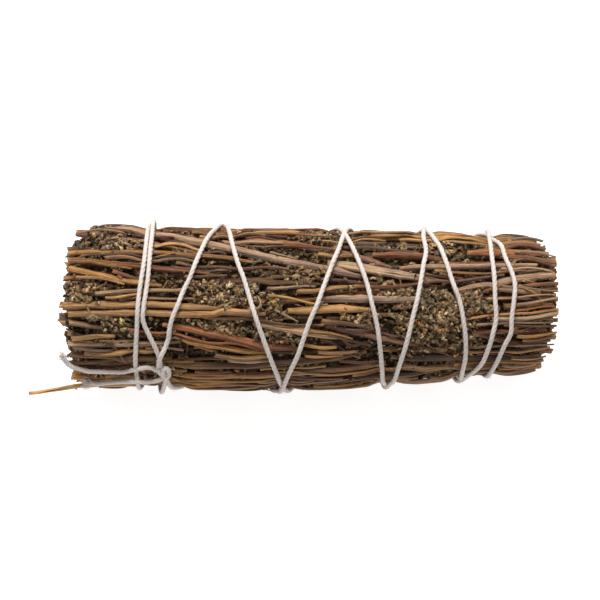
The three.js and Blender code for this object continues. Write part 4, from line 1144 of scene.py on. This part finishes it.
# %% What is already there
def along_route(route, radius, step=0.6):
    """Points of x, y, z and radius at even steps."""
    count = max(3, int(length_of(route) / step))
    even, _ = smooth_route(np.column_stack([route[:, :3], radius]), count)
    return even


string_routes = [drawn_in(route) for route in (winding_path, tail_up, tail_down, knot_loop)]
filled = [along_route(track, track[:, 3]) for track in all_tracks]
filled += [np.column_stack([route[::3], np.full(len(route[::3]), STRING_RADIUS)])
           for route in string_routes]
filled = np.vstack(filled)


def room_for(points, thick, others):
    """How much free space a thin rod has at its tightest place."""
    x0, x1 = points[:, 0].min() - 2, points[:, 0].max() + 2
    near = others[(others[:, 0] > x0) & (others[:, 0] < x1)]
    if not len(near):
        return FAR_OFF
    gaps = np.linalg.norm(points[:, None, :] - near[None, :, :3], axis=2) - near[None, :, 3]
    return float(gaps.min()) - thick


# %% Where a shoot may lie
SHOOT_COUNT = 230
SHOOT_TRIES = 7000
SHOOT_LAP = 0.14            # neighbours press this far into each other
SHOOT_COLOURS = ["red", "red", "gold", "gold", "tan", "tan", "grey", "grey", "purple", "dark"]
SECTORS = 8
LOWEST = 1.3                # so that nothing but the string reaches the table
FLUSH_LEFT, FLUSH_RIGHT = -51.0, 50.5
SEEN_SIDE = math.radians(85)
SHORTEST = 5
MOST_HIDDEN = 0.15          # share of a shoot that may lie on top of stalks that are seen
stalk_places = np.vstack(all_tracks)
stalk_around = np.array([around_axis(place[:3]) for place in stalk_places])
LEAF_PATCHES = [(400, 288, 478, 356), (380, 280, 412, 300), (440, 286, 492, 324),
                (340, 308, 376, 324), (304, 226, 342, 242),
                (428, 238, 456, 260), (103, 234, 145, 250), (183, 280, 255, 306),
                (257, 292, 282, 324), (175, 320, 245, 340), (275, 264, 325, 280),
                (68, 283, 100, 305), (100, 317, 130, 332), (375, 243, 420, 250),
                (255, 330, 300, 345)]


def in_leaf_patch(places):
    """Which of the places lie where leaf matter is seen instead of stalks."""
    px, py = seen_at(np.atleast_2d(places)).T
    inside = np.zeros(len(px), dtype=bool)
    for a, b, c, d in LEAF_PATCHES:
        inside |= (a < px) & (px < c) & (b < py) & (py < d)
    return inside


def hides_stalk(x, distance, turn, thick):
    """Whether a shoot would lie on top of the stalks that are seen on the best side."""
    hidden = 0
    for i in range(len(x)):
        if abs(turn[i]) > SEEN_SIDE:
            continue
        beside = np.abs(stalk_around[:, 0] - x[i]) < 0.8
        _, reach, angle = stalk_around[beside].T
        wide = stalk_places[beside, 3]
        aside = np.abs(angle - turn[i]) * reach
        on_top = (aside < 0.7 * wide + 0.5 * thick) & (reach + wide > radius_at(x[i]) - 1.3) \
            & (reach < distance[i] + 0.3)
        hidden += on_top.any()
    return hidden > MOST_HIDDEN * len(x)


def try_shoot(others, depth_range, thick_range, length_range):
    """A shoot between the stalks, or None where there is no room for it."""
    thick = rng.uniform(*thick_range)
    length = rng.uniform(*length_range)
    angle, lean = rng.uniform(-math.pi, math.pi), rng.normal() * 0.0045
    start = rng.uniform(FLUSH_LEFT - 8, FLUSH_RIGHT - 4)
    left, right = cut_ends(angle)
    end = min(start + length, right + rng.uniform(-1.8, 1.2))
    start = max(start, left + rng.uniform(-1.2, 1.8))
    if end - start < SHORTEST:
        return None
    x = np.linspace(start, end, max(4, round((end - start) / 2.0)))
    turn = angle + lean * (x - start) + 0.02 * waves(x, 12, 30)
    depth = rng.uniform(*depth_range) + 0.25 * waves(x, 8, 25)
    distance = np.minimum(radius_at(x) - thick - depth, radius_at(x) - thick + 0.1)
    points = in_space(x, distance, turn)
    if points[:, 2].min() < LOWEST + thick or hides_stalk(x, distance, turn, thick):
        return None
    if math.cos(angle) > 0 and depth.min() < 0.9 and in_leaf_patch(points).mean() > 0.3:
        return None
    if room_for(points, thick, others) < -SHOOT_LAP:
        return None
    return np.column_stack([points, np.full(len(points), thick)])


# %% Shoots that bulge between the strands of string
BULGE_COUNT, BULGE_TRIES = 270, 9500
HELD, BULGE = 0.42, 0.4     # how far under the surface a strand holds a shoot, and its rise
string_places = np.vstack([route[::3] for route in string_routes])


def try_bulging(others):
    """A shoot on top of the others, held down under the strands and bulging between them."""
    thick, length = rng.uniform(0.25, 0.6), rng.uniform(7, 38)
    wide = math.pi if rng.random() < 0.5 else math.radians(105)
    angle, lean = rng.uniform(-wide, wide), rng.normal() * 0.005
    left, right = cut_ends(angle)
    start = rng.uniform(left, FLUSH_RIGHT - 6)
    end = min(start + length, right + rng.uniform(-1, 1))
    if end - start < SHORTEST:
        return None
    x = np.linspace(start, end, max(6, round((end - start) / 1.2)))
    turn = angle + lean * (x - start) + 0.03 * waves(x, 10, 25)
    splay = np.exp(-((end if rng.random() < 0.5 else start) - x)**2 / 36)
    turn = turn + rng.normal() * 0.045 * splay
    top = in_space(x, radius_at(x), turn)
    near = np.linalg.norm(top[:, None, :] - string_places[None], axis=2).min(axis=1)
    free = 1 - np.exp(-(np.maximum(near - 0.9, 0) / 1.6)**2)
    high = np.clip((top[:, 2] - 4) / 3, 0, 1)
    rise = (HELD + rng.uniform(0.3, 1.0) * BULGE * high) * free * np.sin(
        np.clip((x - start + 1.5) / (end - start + 3), 0, 1) * math.pi)**0.5
    distance = radius_at(x) - thick - HELD + rise
    points = in_space(x, distance, turn)
    if hides_stalk(x, distance, turn, thick):
        return None
    if math.cos(angle) > 0 and in_leaf_patch(points).mean() > 0.25:
        return None
    if points[:, 2].min() < 3.0 or room_for(points, thick, others) < -SHOOT_LAP:
        return None
    return np.column_stack([points, np.full(len(points), thick)])


# %% Lay both kinds
shoot_heaps = [Heap() for _ in range(SECTORS)]


def add_shoot(shoot):
    """Keeps a shoot, and returns the places that are filled now."""
    x, distance, angle = around_axis(shoot[len(shoot) // 2])
    sector = int(((angle + math.pi) % (2 * math.pi)) / (2 * math.pi) * SECTORS) % SECTORS
    depth = float(radius_at(x)) - distance
    # painted shade: a shoot is darker the deeper it lies under the bundle's surface
    colour = bark_colour(pick(SHOOT_COLOURS)) * np.clip(1.25 - 0.4 * depth, 0.5, 1.1)
    bend_rod(shoot_heaps[sector], shoot, colour, tip=rng.uniform(0.55, 0.9),
             torn=rng.uniform(0.5, 1.8))
    return np.vstack([filled, along_route(shoot, shoot[:, 3])])


kept = 0
for attempt in range(BULGE_TRIES):
    shoot = try_bulging(filled) if kept < BULGE_COUNT else None
    if shoot is not None:
        filled, kept = add_shoot(shoot), kept + 1
print("bulging shoots:", kept)
kept = 0
for attempt in range(SHOOT_TRIES):
    if kept == SHOOT_COUNT:
        break
    early = kept < SHOOT_COUNT * 0.4
    shoot = try_shoot(filled, (-0.05, 1.3), (0.42, 0.75) if early else (0.22, 0.5),
                      (22, 60) if early else (8, 34))
    if shoot is None:
        continue
    filled, kept = add_shoot(shoot), kept + 1
print("shoots:", kept, "after", attempt, "tries")

# %% [markdown]
# ## The heart of the bundle
# Inside, the stalks are packed in leaf dust so tightly that no light comes through. The heart is
# one crumpled body under the outer stalks, bent from the same cylinder as they are. Its near-black
# colour is painted shade, for the shade deep between the stalks.

# %% The packed heart
HEART_DEPTH = 2.5           # under the bundle's surface
HEART_FULLER = 1.75         # and this much less deep on the underside
# painted shade: the heart is coloured near black for the shade deep in the bundle
HEART_COLOUR_AS_SHADE = np.array([0.062, 0.041, 0.022])
heart_rod = rod_shape(40, 100, end_slot=0)
turn = np.arctan2(heart_rod["co"][:, 1], heart_rod["co"][:, 0])
out = np.hypot(heart_rod["co"][:, 0], heart_rod["co"][:, 1])
x = np.clip(heart_rod["co"][:, 2], -0.5, 0.5) * 92
rough = np.array([noise.noise(Vector((a * 0.9, math.cos(b) * 13, math.sin(b) * 13)))
                  for a, b in zip(x, turn)])
depth = HEART_DEPTH - HEART_FULLER * np.clip(-1.5 * outwards(x, turn)[:, 2], 0, 1)
heart_places = in_space(x, out * (radius_at(x) - depth + 0.7 * rough), turn)
heart_heap = Heap()
heart_heap.add(heart_rod, heart_places, HEART_COLOUR_AS_SHADE * (1 + 0.5 * rough)[:, None])
heart = heart_heap.make("packed_heart", [dry_leaf])
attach(heart, "root")
print("heart:", triangle_count(heart), "triangles")

# %% [markdown]
# ## The cut ends of the inner stalks
# At both ends the bundle is a dense face of cut stalks. The inner ones are hidden along the
# stick, so only their last stretch is laid, all over the end face.

# %% Lay the inner stalk ends
END_STALKS = 110
END_TRIES = 2600
end_heaps = [Heap(), Heap()]
for side, end_heap in enumerate(end_heaps):
    kept = 0
    for attempt in range(END_TRIES):
        if kept == END_STALKS:
            break
        thick = rng.uniform(0.3, 0.85)
        angle = rng.uniform(-math.pi, math.pi)
        flush = cut_ends(angle)[side] + rng.normal() * 0.7
        x = np.linspace(flush, flush + (1, -1)[side] * rng.uniform(5, 10), 4)
        distance = math.sqrt(rng.uniform(0, 1)) * (float(radius_at(x[0])) - thick - 0.2)
        turn = angle + 0.004 * rng.normal() * (x - x[0])
        points = in_space(x, np.full(len(x), distance), turn)
        if points[:, 2].min() < LOWEST + thick or room_for(points, thick, filled) < -SHOOT_LAP:
            continue
        kept += 1
        stalk = np.column_stack([points, np.full(len(points), thick)])
        filled = np.vstack([filled, along_route(stalk, stalk[:, 3])])
        bend_rod(end_heap, stalk, bark_colour(pick(SHOOT_COLOURS)), torn=rng.uniform(0.4, 1.4))
    print("inner stalk ends:", kept)
for name, heap in [(f"side_shoots_{n + 1}", heap) for n, heap in enumerate(shoot_heaps)] \
        + [("inner_ends_left", end_heaps[0]), ("inner_ends_right", end_heaps[1])]:
    piece = heap.make(name, [bark, cut_wood])
    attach(piece, "root")
    print(name, triangle_count(piece), "triangles")

# %% [markdown]
# ## Leaves and flower heads
# A dried mugwort leaf is lobed, and curls and folds as it dries. The flower heads are woolly egg
# shapes 1 to 2 mm long, in dense clusters. A leaf is modelled from a grid: its rows of corners
# are pulled in and out into lobes, it is curled, and Solidify gives it a thickness. A flower head
# is a small sphere with its ribs pulled out and its tip drawn up.

# %% A curled leaf
def leaf_shape(profile, curl, fold, ruffle, columns=2):
    fresh_start()
    bpy.ops.mesh.primitive_grid_add(x_subdivisions=4, y_subdivisions=columns, size=1)
    leaf = bpy.context.object
    bpy.ops.object.mode_set(mode="EDIT")
    bpy.ops.mesh.select_mode(type="VERT")
    for row, width in enumerate(profile):
        bpy.ops.mesh.select_all(action="DESELECT")
        work = bmesh.from_edit_mesh(leaf.data)
        for corner in work.verts:
            corner.select = abs(corner.co.x - (row / 4 - 0.5)) < 1e-3
        work.select_flush(True)
        bmesh.update_edit_mesh(leaf.data)
        middle = (row / 4 - 0.5, 0, 0)
        bpy.ops.transform.resize(value=(1, width, 1), center_override=middle)
    bpy.ops.object.mode_set(mode="OBJECT")
    for corner in leaf.data.vertices:
        x, y, _ = corner.co
        angle = curl * (x + 0.5)
        reach = math.sin(angle) / curl
        rise = (1 - math.cos(angle)) / curl
        lift = abs(y) * fold + ruffle * math.sin(17 * x + 9 * y)
        corner.co = (reach - math.sin(angle) * lift, y, -rise + math.cos(angle) * lift)
    thick = leaf.modifiers.new("thickness", "SOLIDIFY")
    thick.thickness = 0.05
    thick.offset = 0
    bpy.ops.object.modifier_apply(modifier=thick.name)
    return shape_of(leaf)


LEAVES = [leaf_shape((0.15, 0.5, 0.25, 0.4, 0.08), 1.5, 0.7, 0.06),
          leaf_shape((0.12, 0.3, 0.2, 0.28, 0.08), 2.3, 0.9, 0.08),
          leaf_shape((0.1, 0.22, 0.32, 0.18, 0.06), 0.9, 0.5, 0.1),
          leaf_shape((0.2, 0.6, 0.35, 0.5, 0.15), 3.0, 0.8, 0.08),
          leaf_shape((0.1, 0.17, 0.14, 0.15, 0.06), 1.3, 0.8, 0.07),
          leaf_shape((0.08, 0.14, 0.12, 0.13, 0.05), -1.6, 0.8, 0.09)]
CURLS = [leaf_shape((0.16, 0.22, 0.18, 0.2, 0.08), 3.4, 0.0, 0.05, columns=1),
         leaf_shape((0.1, 0.2, 0.24, 0.16, 0.1), -2.8, 0.0, 0.08, columns=1),
         leaf_shape((0.12, 0.3, 0.3, 0.24, 0.1), 4.4, 0.0, 0.04, columns=1)]
print("curls:", [len(shape["sizes"]) for shape in CURLS], "faces")
print("leaves:", [len(shape["sizes"]) for shape in LEAVES], "faces")


# %% A flower head and a crumb
def flower_shape(segments, rings, pull, tip):
    fresh_start()
    bpy.ops.mesh.primitive_uv_sphere_add(segments=segments, ring_count=rings, radius=0.5)
    head = bpy.context.object
    bpy.ops.transform.resize(value=(0.72, 0.72, 1))
    bpy.ops.object.transform_apply(location=False, rotation=False, scale=True)
    for corner in head.data.vertices:
        x, y, z = corner.co
        turn = math.atan2(y, x)
        ribs = 1 + pull * math.cos(turn * segments / 2)
        corner.co = (x * ribs, y * ribs, z + (tip if z > 0.45 else 0))
    return shape_of(head)


def crumb_shape(seed):
    fresh_start()
    bpy.ops.mesh.primitive_ico_sphere_add(subdivisions=1, radius=0.5)
    crumb = bpy.context.object
    for corner in crumb.data.vertices:
        push = noise.noise_vector(corner.co * 3 + Vector((seed, 0, 0))) * 0.35
        corner.co = (corner.co + push) * 0.9
    return shape_of(crumb)


FLOWERS = [flower_shape(6, 3, 0.2, 0.12), flower_shape(6, 3, 0.3, -0.1),
           flower_shape(6, 4, 0.24, 0.1)]
CRUMBS = [crumb_shape(seed) for seed in (3.1, 7.7, 12.9)]
print("flower heads:", [len(shape["sizes"]) for shape in FLOWERS], "faces")

# %% [markdown]
# ## Filling the gaps
# Leaf matter fills what the stalks leave free. A bit is kept only if it clears every stalk and
# the string, and does not stand out of the bundle. How high it may stand varies from place to
# place: it comes up to the surface in the patches where the photo shows leaf clumps.

# %% How high the leaf matter stands
def tree_of(places):
    """A tree that finds the nearest of the places quickly."""
    tree = KDTree(len(places))
    for i, place in enumerate(places):
        tree.insert(Vector(place[:3]), i)
    tree.balance()
    return tree


filled_tree, stalk_tree = tree_of(filled), tree_of(stalk_places)


def clearance(place):
    """Free distance from a place to the nearest stalk, shoot or strand."""
    return min(distance - filled[i, 3] for _, i, distance in filled_tree.find_n(place, 6))


FACING = 0.15               # the best side ends where the angle's cosine falls to this
BESIDE_FACE = math.radians(115)     # up to here the leaf matter comes well up beside it


def in_seen_patch(place, angle):
    return math.cos(angle) > FACING and in_leaf_patch(place)[0]


def leaf_level(x, angle, place):
    """How far below the bundle's surface leaf bits stop here."""
    wave = noise.noise(Vector((x * 0.16, math.cos(angle) * 3.2, math.sin(angle) * 3.2)))
    clump = noise.noise(Vector((x * 0.55 + 40, math.cos(angle) * 8, math.sin(angle) * 8)))
    level = 1.15 + 1.6 * wave + 0.7 * clump
    if in_seen_patch(place, angle):
        level = -0.1 + 0.4 * wave + 0.7 * clump
    elif math.cos(angle) <= FACING and abs(angle) < BESIDE_FACE:
        level = min(level, 0.5 + 0.5 * clump)
    return max(-0.25, level)


# %% The sprays' middles, and which spray owns a place
def spray_line(node):
    triangles = triangles_of(node)
    low, high = triangles[..., 0].min() + 1.2, triangles[..., 0].max() - 1.2
    found = []
    for x in np.linspace(low, high, 33):
        y, z, _ = max(rings_at(triangles, x), key=lambda ring: ring[2])
        found.append((x, y, z))
    line = np.array(found)
    for k in (1, 2):
        line[:, k] = evened(line[:, k], 3)
    return line


spray_lines = {node: spray_line(node) for node in leafy_nodes}


def spray_middle(node, x):
    line = spray_lines[node]
    return np.array([np.interp(x, line[:, 0], line[:, 1]), np.interp(x, line[:, 0], line[:, 2])])


def owner_of(place):
    return min(leafy_nodes, key=lambda node: math.dist(spray_middle(node, place[0]), place[1:]))


# %% Leaf colours
LEAF_COLOURS = [(0.22, 0.15, 0.08), (0.19, 0.115, 0.056), (0.28, 0.21, 0.13),
                (0.12, 0.076, 0.042), (0.23, 0.163, 0.09), (0.175, 0.13, 0.07),
                (0.21, 0.125, 0.062)]
RARE_COLOURS = [(0.36, 0.14, 0.045), (0.34, 0.22, 0.075), (0.28, 0.2, 0.07)]
RARE_SHARE = 0.03


def leaf_colour(place):
    """A random leaf colour, with painted shade that makes it darker deep in the bundle, and lighter
    in some places than others.
    """
    table = RARE_COLOURS if rng.random() < RARE_SHARE else LEAF_COLOURS
    x, distance, _ = around_axis(place)
    # painted shade: a bit is darker the deeper it lies under the bundle's surface
    shade = np.clip(1.22 - 0.3 * (float(radius_at(x)) - distance), 0.45, 1.15)
    shade *= 1 + 0.4 * noise.noise(Vector(place) * 0.35)
    return np.array(pick(table)) * rng.uniform(0.4, 1.35) * shade


# %% Where a bit of leaf matter may lie
def turned(shape, size, ahead, up):
    """The shape's corners with x along ahead and z along up, sized in millimetres."""
    ahead = unit(ahead)
    across = unit(np.cross(up, ahead))
    up = np.cross(ahead, across)
    return (shape["co"] * size) @ np.stack([ahead, across, up])


def lies_on_stalk(place, out):
    """Whether a stalk runs straight under the place."""
    for _, i, _ in stalk_tree.find_n(place, 3):
        offset = place - stalk_places[i, :3]
        above = float(offset @ out)
        aside = offset[1:] - out[1:] * above
        if above > 0 and float(aside @ aside) < (0.9 * stalk_places[i, 3])**2:
            return True
    return False


def stands_out(places, allowed):
    """Whether any corner lies further outside the bundle's surface than is allowed."""
    x = places[:, 0] - SHIFT[0]
    reach = np.hypot(places[:, 1] - SHIFT[1] - axis_side(x), places[:, 2] - axis_height(x))
    return bool((reach > radius_at(x) + allowed).any())


PATCH_SHARE = 0.16          # share of the bits that are tried in the best side's leaf clumps
END_SHARE = 0.14            # share of the other bits that are tried at the cut ends
PATCH_DEPTH, SHELL_DEPTH = 1.6, 2.9
patch_sizes = np.array([(c - a) * (d - b) for a, b, c, d in LEAF_PATCHES], dtype=float)
patch_sizes /= patch_sizes.sum()


def shell_place():
    """A random place in the outer shell of the bundle, or in one of its end faces."""
    if rng.random() < PATCH_SHARE:
        a, b, c, d = LEAF_PATCHES[rng.choice(len(LEAF_PATCHES), p=patch_sizes)]
        x, angle = from_face(face_point((rng.uniform(a, c), rng.uniform(b, d))), radius_at)
        surface = float(radius_at(x))
        return x, surface - PATCH_DEPTH * rng.random()**1.2, angle, surface
    angle = rng.uniform(-math.pi, math.pi)
    left, right = cut_ends(angle)
    if rng.random() < END_SHARE:
        from_left = rng.random() < 0.5
        inside = rng.uniform(-0.3, 4)
        x = left + inside if from_left else right - inside
        surface = float(radius_at(x))
        return x, math.sqrt(rng.random()) * (surface - 0.4), angle, surface
    x = rng.uniform(left, right)
    surface = float(radius_at(x))
    return x, surface - SHELL_DEPTH * rng.random()**1.1, angle, surface


# %% One bit of leaf matter
LEFT_OUT = {"flower": 0.8, "curl": 0.25, "crumb": 0.4}     # share, in a clump of leaves
PAST_END = 0.7              # how far past the cut ends a bit may reach
STANDING_SHARE = 0.03       # share of the bits that may stand out further than the others
STANDING_OUT, LYING_FLAT = 0.45, 0.1


def try_bit(kind):
    """Lays one bit at a random place, if it fits there."""
    x, distance, angle, surface = shell_place()
    place = in_space(x, distance, angle)
    patch = in_seen_patch(place, angle)
    if patch and rng.random() < LEFT_OUT.get(kind, 0):
        return False
    if place[2] < LOWEST or distance > surface - leaf_level(x, angle, place):
        return False
    out = outwards(x, angle)
    if lies_on_stalk(place, out) and rng.random() < 0.85:
        return False
    along = unit(np.array([rng.choice([-1.0, 1.0]), 0, 0]) + rng.normal(size=3) * 0.45)
    if kind == "leaf":
        shape, length = pick(LEAVES), rng.uniform(2.8, 6.2)
        size = (length, length * rng.uniform(0.75, 1.1), length)
        spots, margin = [place + along * length * t for t in (0.15, 0.5, 0.85)], 0.12
        up = unit(out + rng.normal(size=3) * 0.4)
    elif kind == "curl":
        shape, length = pick(CURLS), rng.uniform(1.2, 3.6) * (1.5 if patch else 1)
        size = (length, length * rng.uniform(0.8, 1.3), length)
        spots, margin = [place + along * length * t for t in (0, 0.4, 0.8)], 0.08
        up = unit(out + rng.normal(size=3) * (0.55 if patch else 0.9))
    elif kind == "flower":
        shape, length = pick(FLOWERS), rng.uniform(0.6, 1.2)
        size = (length * rng.uniform(0.7, 1.1), length * rng.uniform(0.7, 1.1),
                length * rng.uniform(1.0, 1.7))
        spots, margin = [place], length * 0.3
        up = unit(out * rng.uniform(0.2, 1.2) + along)
        along = rng.normal(size=3)
    else:
        shape, length = pick(CRUMBS), rng.uniform(0.7, 1.9)
        size = (length, length * rng.uniform(0.5, 1), length * rng.uniform(0.35, 0.8))
        spots, margin = [place], length * 0.22
        up = unit(out + rng.normal(size=3) * 0.8)
    left, right = cut_ends(angle)
    for spot in spots:
        if spot[2] < LOWEST or clearance(spot) < margin:
            return False
        if not left - PAST_END < spot[0] - SHIFT[0] < right + PAST_END:
            return False
    places = turned(shape, np.array(size), along, up) + place
    if stands_out(places, STANDING_OUT if rng.random() < STANDING_SHARE else LYING_FLAT):
        return False
    spray_heaps[owner_of(place)].add(shape, places, leaf_colour(place))
    return True


# %% The crumpled core of a spray
# painted shade: the core is coloured near black for the shade between the leaf bits
CORE_COLOUR_AS_SHADE = np.array([0.06, 0.039, 0.02])


def core_of(heap, node):
    """The spray's own solid, merged, subdivided and roughened, and coloured near black as painted
    shade under the bits.
    """
    work = bmesh.new()
    work.from_mesh(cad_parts[node].data)
    bmesh.ops.remove_doubles(work, verts=work.verts, dist=1e-6)
    bmesh.ops.subdivide_edges(work, edges=work.edges, cuts=1, use_grid_fill=True)
    work.normal_update()
    places = []
    for corner in work.verts:
        at = corner.co / MM
        push = noise.noise(at * 0.9) * 0.3 - 0.12
        places.append(at + corner.normal * push)
    places = np.array(places)
    work.verts.index_update()
    faces = [[v.index for v in face.verts] for face in work.faces]
    work.free()
    shade = 0.75 + 0.5 * waves(places[:, 0] + places[:, 1], 2, 9)
    heap.add(face_arrays(faces), places, CORE_COLOUR_AS_SHADE * shade[:, None])


# %% Dress every spray
BITS = {"leaf": 1400, "flower": 3400, "curl": 6200, "crumb": 1200}
MOST_TRIES = 14
spray_heaps = {node: Heap() for node in leafy_nodes}
for node, heap in spray_heaps.items():
    core_of(heap, node)
for kind, count in BITS.items():
    count = count
    done = tries = 0
    while done < count and tries < count * MOST_TRIES:
        done += try_bit(kind)
        tries += 1
    print(kind, done, "of", count, "in", tries, "tries")
for node, heap in spray_heaps.items():
    piece = heap.make(node.replace("leafy_stem", "leaf_spray"), [dry_leaf])
    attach(piece, "root")
    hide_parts(node)
    print(piece.name, triangle_count(piece), "triangles")

# %% [markdown]
# ## Loose twigs and splinters
# Thin shoots, torn strips of bark and splinters lie on the bundle, held by their neighbours or
# under the string. Each is a thin bent rod, laid on whatever stalk is under it.

# %% Lay a thin twig on the bundle
TWIG_SINK, TWIG_RISE = 0.9, 0.35    # how far under and over the bundle's surface it may lie
TWIG_STEP = 7                       # pixels


def surface_for(x, angle, thick):
    """How far out a thin rod lies here: on the stalks below it, or on the leaf matter."""
    out = outwards(x, angle)
    axis = in_space(x, 0.0, angle)
    most = float(radius_at(x)) - TWIG_SINK
    for track in all_tracks:
        if not track[0, 0] - 1 < axis[0] < track[-1, 0] + 1:
            continue
        offset = np.array([np.interp(axis[0], track[:, 0], track[:, k]) for k in (1, 2)])
        offset = offset - axis[1:]
        reach = float(np.interp(axis[0], track[:, 0], track[:, 3])) + thick
        along = float(offset @ out[1:])
        aside = float(offset @ offset) - along**2
        if aside < reach**2:
            most = max(most, along + math.sqrt(reach**2 - aside))
    return min(most, float(radius_at(x)) + TWIG_RISE)


def lay_twig(heap, pixels, thick, colour, tip=0.6):
    """Bends a thin rod over a line that is given in the photo's pixels."""
    route = []
    for (px, py), (qx, qy) in zip(pixels, pixels[1:]):
        steps = max(1, round(math.dist((px, py), (qx, qy)) / TWIG_STEP))
        route += [(px + (qx - px) * k / steps, py + (qy - py) * k / steps) for k in range(steps)]
    route.append(pixels[-1])
    places = [from_face(face_point(p), lambda x: radius_at(x) - 0.4) for p in route]
    outs = np.array([surface_for(x, angle, thick) for x, angle in places])
    outs[1:-1] = np.maximum(outs[1:-1], (outs[:-2] + outs[2:]) / 2)
    middle = in_space([x for x, _ in places], outs, np.array([a for _, a in places]))
    points = np.column_stack([middle, np.full(len(middle), thick)])
    bend_rod(heap, points, colour, ribs=0.04, tip=tip)


# %% The loose twigs of the best side
PALE, OCHRE, OLIVE = (0.5, 0.36, 0.19), (0.4, 0.22, 0.07), (0.24, 0.19, 0.08)
LILAC, RUST, NIGHT = (0.16, 0.1, 0.095), (0.26, 0.09, 0.045), (0.06, 0.03, 0.022)
LOOSE_TWIGS = [
    ([(155, 243), (187, 248)], 0.34, OCHRE), ([(152, 257), (175, 254)], 0.3, OCHRE),
    ([(67, 295), (88, 283)], 0.2, PALE),
    ([(75, 293), (85, 300), (88, 310), (92, 318)], 0.32, OLIVE),
    ([(102, 327), (108, 340), (115, 350), (130, 365)], 0.36, LILAC),
    ([(247, 236), (275, 240)], 0.26, LILAC), ([(240, 243), (270, 245)], 0.2, PALE),
    ([(270, 250), (297, 257)], 0.22, PALE), ([(280, 286), (295, 287), (312, 290)], 0.26, OCHRE),
    ([(215, 285), (240, 285)], 0.3, OLIVE), ([(218, 307), (245, 297)], 0.2, PALE),
    ([(275, 310), (285, 315), (298, 322)], 0.24, PALE),
    ([(305, 330), (330, 333), (352, 338)], 0.3, OCHRE),
    ([(325, 340), (345, 352), (360, 357)], 0.3, LILAC), ([(327, 334), (370, 345)], 0.34, NIGHT),
    ([(355, 362), (362, 352), (375, 345)], 0.18, RUST), ([(440, 262), (490, 262)], 0.36, RUST),
    ([(425, 273), (455, 278)], 0.32, NIGHT), ([(440, 272), (475, 282)], 0.34, RUST),
    ([(468, 300), (480, 293), (505, 285)], 0.42, RUST), ([(525, 280), (550, 286)], 0.4, NIGHT),
    ([(520, 285), (535, 293), (545, 303)], 0.4, OCHRE), ([(517, 325), (530, 310)], 0.14, PALE),
    ([(420, 340), (430, 348), (450, 357)], 0.2, RUST), ([(500, 364), (540, 362)], 0.34, OCHRE),
    ([(500, 368), (537, 370)], 0.32, RUST), ([(514, 331), (524, 319), (541, 311)], 0.12, PALE),
    ([(514, 332), (527, 323), (546, 318)], 0.13, OCHRE),
    ([(515, 334), (530, 329), (547, 326)], 0.12, PALE),
    ([(513, 329), (519, 317), (532, 306)], 0.11, PALE), ([(517, 322), (544, 321)], 0.3, OCHRE),
]
heap = Heap()
for pixels, thick, colour in LOOSE_TWIGS:
    lay_twig(heap, pixels, thick, np.array(colour) * rng.uniform(0.85, 1.1))
twig_piece = heap.make("loose_twigs", [bark, cut_wood])
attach(twig_piece, "root")
print("loose twigs:", len(LOOSE_TWIGS), "with", triangle_count(twig_piece), "triangles")

# %% [markdown]
# ## Floor and light
# The photo has a white ground and soft light from overhead. So the floor is a pale matt plane
# that glows a little, which keeps it white up to the stick, and one large soft lamp hangs above
# and a little behind the stick.

# %% Floor, lamp and sky
FLOOR_GLOW, SKY_STRENGTH = 0.85, 0.6
fresh_start()
bpy.ops.mesh.primitive_plane_add(size=6)
floor = bpy.context.object
floor.name = "floor"
floor_finish, floor_tree, floor_shader = new_finish("pale floor", 0.9)
floor_place = floor_tree.nodes.new("ShaderNodeTexCoord").outputs["Object"]
floor_noise = noise_node(floor_tree, floor_place, 40.0)
link(floor_tree, mix_node(floor_tree, floor_noise.outputs["Fac"], (0.4, 0.4, 0.4),
                          (0.42, 0.42, 0.42)), floor_shader.inputs["Base Color"])
floor_shader.inputs["Emission Color"].default_value = (1, 1, 1, 1)
floor_shader.inputs["Emission Strength"].default_value = FLOOR_GLOW
floor.data.materials.append(floor_finish)

sky = bpy.data.worlds.new("studio")
sky.use_nodes = True
sky.node_tree.nodes["Background"].inputs["Color"].default_value = (1, 1, 1, 1)
sky.node_tree.nodes["Background"].inputs["Strength"].default_value = SKY_STRENGTH
bpy.context.scene.world = sky


def soft_lamp(title, place, size, power):
    lamp = bpy.data.lights.new(title, "AREA")
    lamp.size = size
    lamp.energy = power
    body = bpy.data.objects.new(title, lamp)
    body.location = place
    body.rotation_euler = (-Vector(place)).to_track_quat("-Z", "Y").to_euler()
    bpy.context.scene.collection.objects.link(body)


soft_lamp("overhead lamp", (-0.1, 0.42, 0.85), 0.5, 14.0)
bpy.context.scene.view_settings.view_transform = "Standard"
print("lamp and floor are in place")
